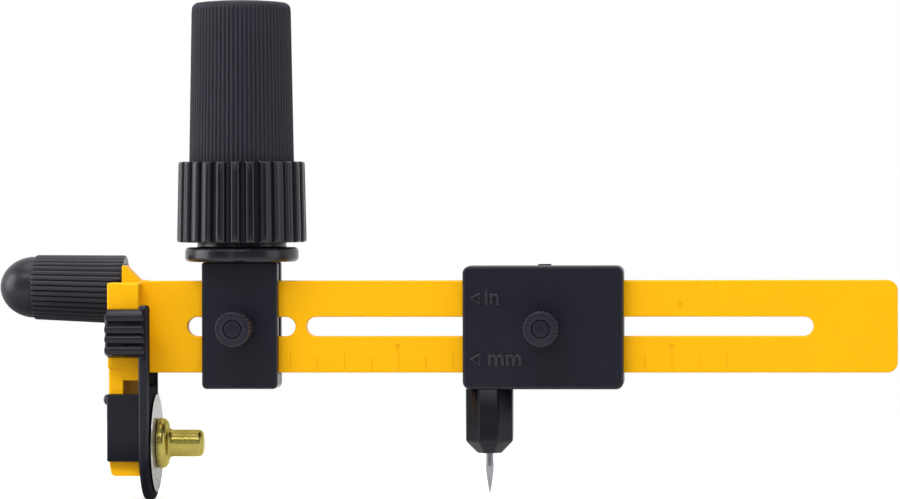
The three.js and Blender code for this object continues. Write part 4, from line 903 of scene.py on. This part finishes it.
def makeLabels():  # a pointer and a plain unit beside each scale, raised a little from the face
    v = labelValues
    bm = bmesh.new()
    for word, (x, z) in (("in", v["inch"]), ("mm", v["metric"])):
        curve = bpy.data.curves.new("unit", "FONT")
        curve.body = word
        curve.size = v["height"] * mm * v["fontSize"]
        curve.extrude = v["rise"] * mm
        curve.bevel_depth = v["bevel"] * mm
        curve.bevel_resolution = 1
        curve.resolution_u = 3
        letters = show("unit", curve)
        bpy.context.view_layer.update()
        mesh = bpy.data.meshes.new_from_object(letters.evaluated_get(bpy.context.evaluated_depsgraph_get()))
        bpy.data.objects.remove(letters)
        old = set(bm.verts)
        bm.from_mesh(mesh)
        bpy.data.meshes.remove(mesh)
        place(bm, [p for p in bm.verts if p not in old], "front", (x, carriageFace, z))
        height = z + v["height"] / 2 - v["pointerDrop"]
        tip, back, half = v["pointer"], v["pointer"] + v["pointerWidth"], v["pointerHeight"] / 2
        corners = [(tip, height), (back, height - half), (back, height + half)]
        flat = bm.faces.new([bm.verts.new(Vector((a, carriageFace + v["sunk"], b)) * mm) for a, b in corners])
        flat.normal_update()
        rim = bmesh.ops.inset_region(bm, faces=[flat], thickness=v["line"] * mm, use_even_offset=True,
                                     use_boundary=True)["faces"]
        bmesh.ops.delete(bm, geom=[flat], context="FACES_ONLY")
        grown = extruded(bm, rim, (0, -(v["rise"] + v["sunk"]), 0), keepFaces=False)
        lines = [g for g in grown if isinstance(g, bmesh.types.BMEdge) and g.calc_face_angle(0) > 1]
        bevel(bm, lines, v["bevel"], 2)
    keep(bm, "unitMarks", "carriage", [], "markBlack", sharp=20, weigh=False)


shell("carriageBody", "carriage_body", "carriage", carriageValues)
backPlate("carriageBack", "carriage_back", "carriage", carriageBackValues)
softened("needleHolder", "needle_holder", "carriage", "tipBlack", tipValues["edge"], tipEdge)
makeNeedle()
makeLabels()
print("carriage made")


# nodes that no piece replaces get their own finish
nodeFinish = {"spindle": "needleSteel", "pawl_cover": "satinBlack", "grip_core": "satinBlack",
              "holder_clamp_nut": "brass", "carriage_clamp_nut": "brass"}
steelWords = ("screw", "pawl", "stud", "washer", "spindle_nut", "wheel")
for node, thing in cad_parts.items():
    wanted = nodeFinish.get(node) or ("screwSteel" if any(word in node for word in steelWords) else None)
    if wanted:
        thing.data.materials.clear()
        thing.data.materials.append(finishes[wanted])
print("node finishes set")


floorValues = {"middle": 54, "height": -32, "radius": 420, "clearStart": 0.14, "clearEnd": 0.36,
               "albedo": 0.62, "paper": 0.01, "lift": 0.56}


def makeFloor():  # a white sheet that clears to the white surroundings further out
    v = floorValues
    bm = bmesh.new()
    bmesh.ops.create_circle(bm, cap_ends=True, segments=96, radius=v["radius"] * mm)
    bmesh.ops.translate(bm, vec=Vector((v["middle"], 0, v["height"])) * mm, verts=bm.verts)
    mesh = bpy.data.meshes.new("floor")
    bm.to_mesh(mesh)
    bm.free()
    f = Finish("floorWhite")
    x, y = f.axes()[:2]
    dx = x - v["middle"] * mm
    clear = f.band((dx * dx + y * y) ** 0.5, v["clearStart"], v["clearEnd"])
    camera, glossy, through = f.rays()
    white, shaded = v["albedo"], v["albedo"] - v["paper"]
    tone = f.blend(f.noise(900, 3, 0.6), rgb(shaded, shaded, shaded), rgb(white, white, white))
    matte = f.add("ShaderNodeBsdfDiffuse", {"Color": tone})
    strength = (camera + glossy + through) * v["lift"]
    glow = f.add("ShaderNodeEmission", {"Color": rgb(1, 1, 1), "Strength": strength})
    lit = f.add("ShaderNodeAddShader", [matte, glow])
    mesh.materials.append(f.shade(f.mixed(clear * camera, lit, f.add("ShaderNodeBsdfTransparent"))))
    show("floor", mesh)


worldValues = {"soft": 0.3, "front": 0.09, "near": -0.8, "far": 0.5, "lean": -0.3}


def makeWorld():  # plain white for the camera, darker in front for what shines
    v = worldValues
    world = bpy.data.worlds.new("studio")
    bpy.context.scene.world = world
    f = Finish("studio", world)
    camera, glossy, through = f.rays()
    towards = f.add("ShaderNodeTexCoord", output="Generated")
    depth, up = f.add("ShaderNodeSeparateXYZ", [towards], None)[1:]
    around = f.band(depth + up * v["lean"], v["near"], v["far"], v["front"], 1)
    plain = camera + through
    level = plain + glossy * around + (1 - plain - glossy) * v["soft"]
    back = f.add("ShaderNodeBackground", {"Color": rgb(1, 1, 1), "Strength": level})
    f.add("ShaderNodeOutputWorld", [back], None)


lampValues = {
    "fill": {"power": 4.7, "size": (0.9, 0.5), "spot": (-40, -700, 620), "aim": (50, 0, 0),
             "mirrored": False},
    "back": {"power": 3.0, "size": (0.9, 0.6), "spot": (80, 900, 300), "aim": (50, 0, 0), "mirrored": False},
    "top": {"power": 2.0, "size": (0.7, 0.45), "spot": (20, 40, 640), "aim": (50, 0, 10)},
    "key": {"power": 1.7, "size": (0.8, 0.09), "spot": (-120, -500, 500), "aim": (50, 0, 0)},
    "line": {"power": 0.16, "size": (0.5, 0.05), "spot": (-60, -640, 150), "aim": (30, 0, 0)},
    "left": {"power": 6.5, "size": (0.56, 0.9), "spot": (-900, -100, 150), "aim": (30, 0, 10)},
    "right": {"power": 2.4, "size": (0.54, 0.9), "spot": (1020, -320, 150), "aim": (60, 0, 5)},
    "front": {"power": 0.1, "size": (0.06, 0.34), "spot": (-150, -610, 30), "aim": (50, 0, 5)},
}


def towardsAim(v):
    return (Vector(v["aim"]) - Vector(v["spot"])).to_track_quat("-Z", "Y")


def makeLamps():
    for name, v in lampValues.items():
        data = bpy.data.lights.new(name, "AREA")
        data.shape = "RECTANGLE"
        data.size, data.size_y = v["size"]
        data.energy = v["power"]
        lamp = show(name, data)
        lamp.location = Vector(v["spot"]) * mm
        lamp.rotation_euler = towardsAim(v).to_euler()
        lamp.visible_glossy = v.get("mirrored", True)


cameraValues = {"spot": (104.06, -811.2, 25.1), "aim": (54.17, -3, 14.11), "lens": 177.07, "sensor": 36,
                "clip": (0.01, 20), "roll": -0.0025}


def makeCamera():
    v = cameraValues
    data = bpy.data.cameras.new("camera")
    data.sensor_width = v["sensor"]
    data.lens = v["lens"]
    data.clip_start, data.clip_end = v["clip"]
    camera = show("camera", data)
    camera.location = Vector(v["spot"]) * mm
    camera.rotation_euler = (towardsAim(v).to_matrix() @ Matrix.Rotation(v["roll"], 3, "Z")).to_euler()
    bpy.context.scene.camera = camera


makeFloor()
makeWorld()
makeLamps()
makeCamera()
bpy.context.scene.view_settings.view_transform = "Standard"
print("stage, lamps and camera made")
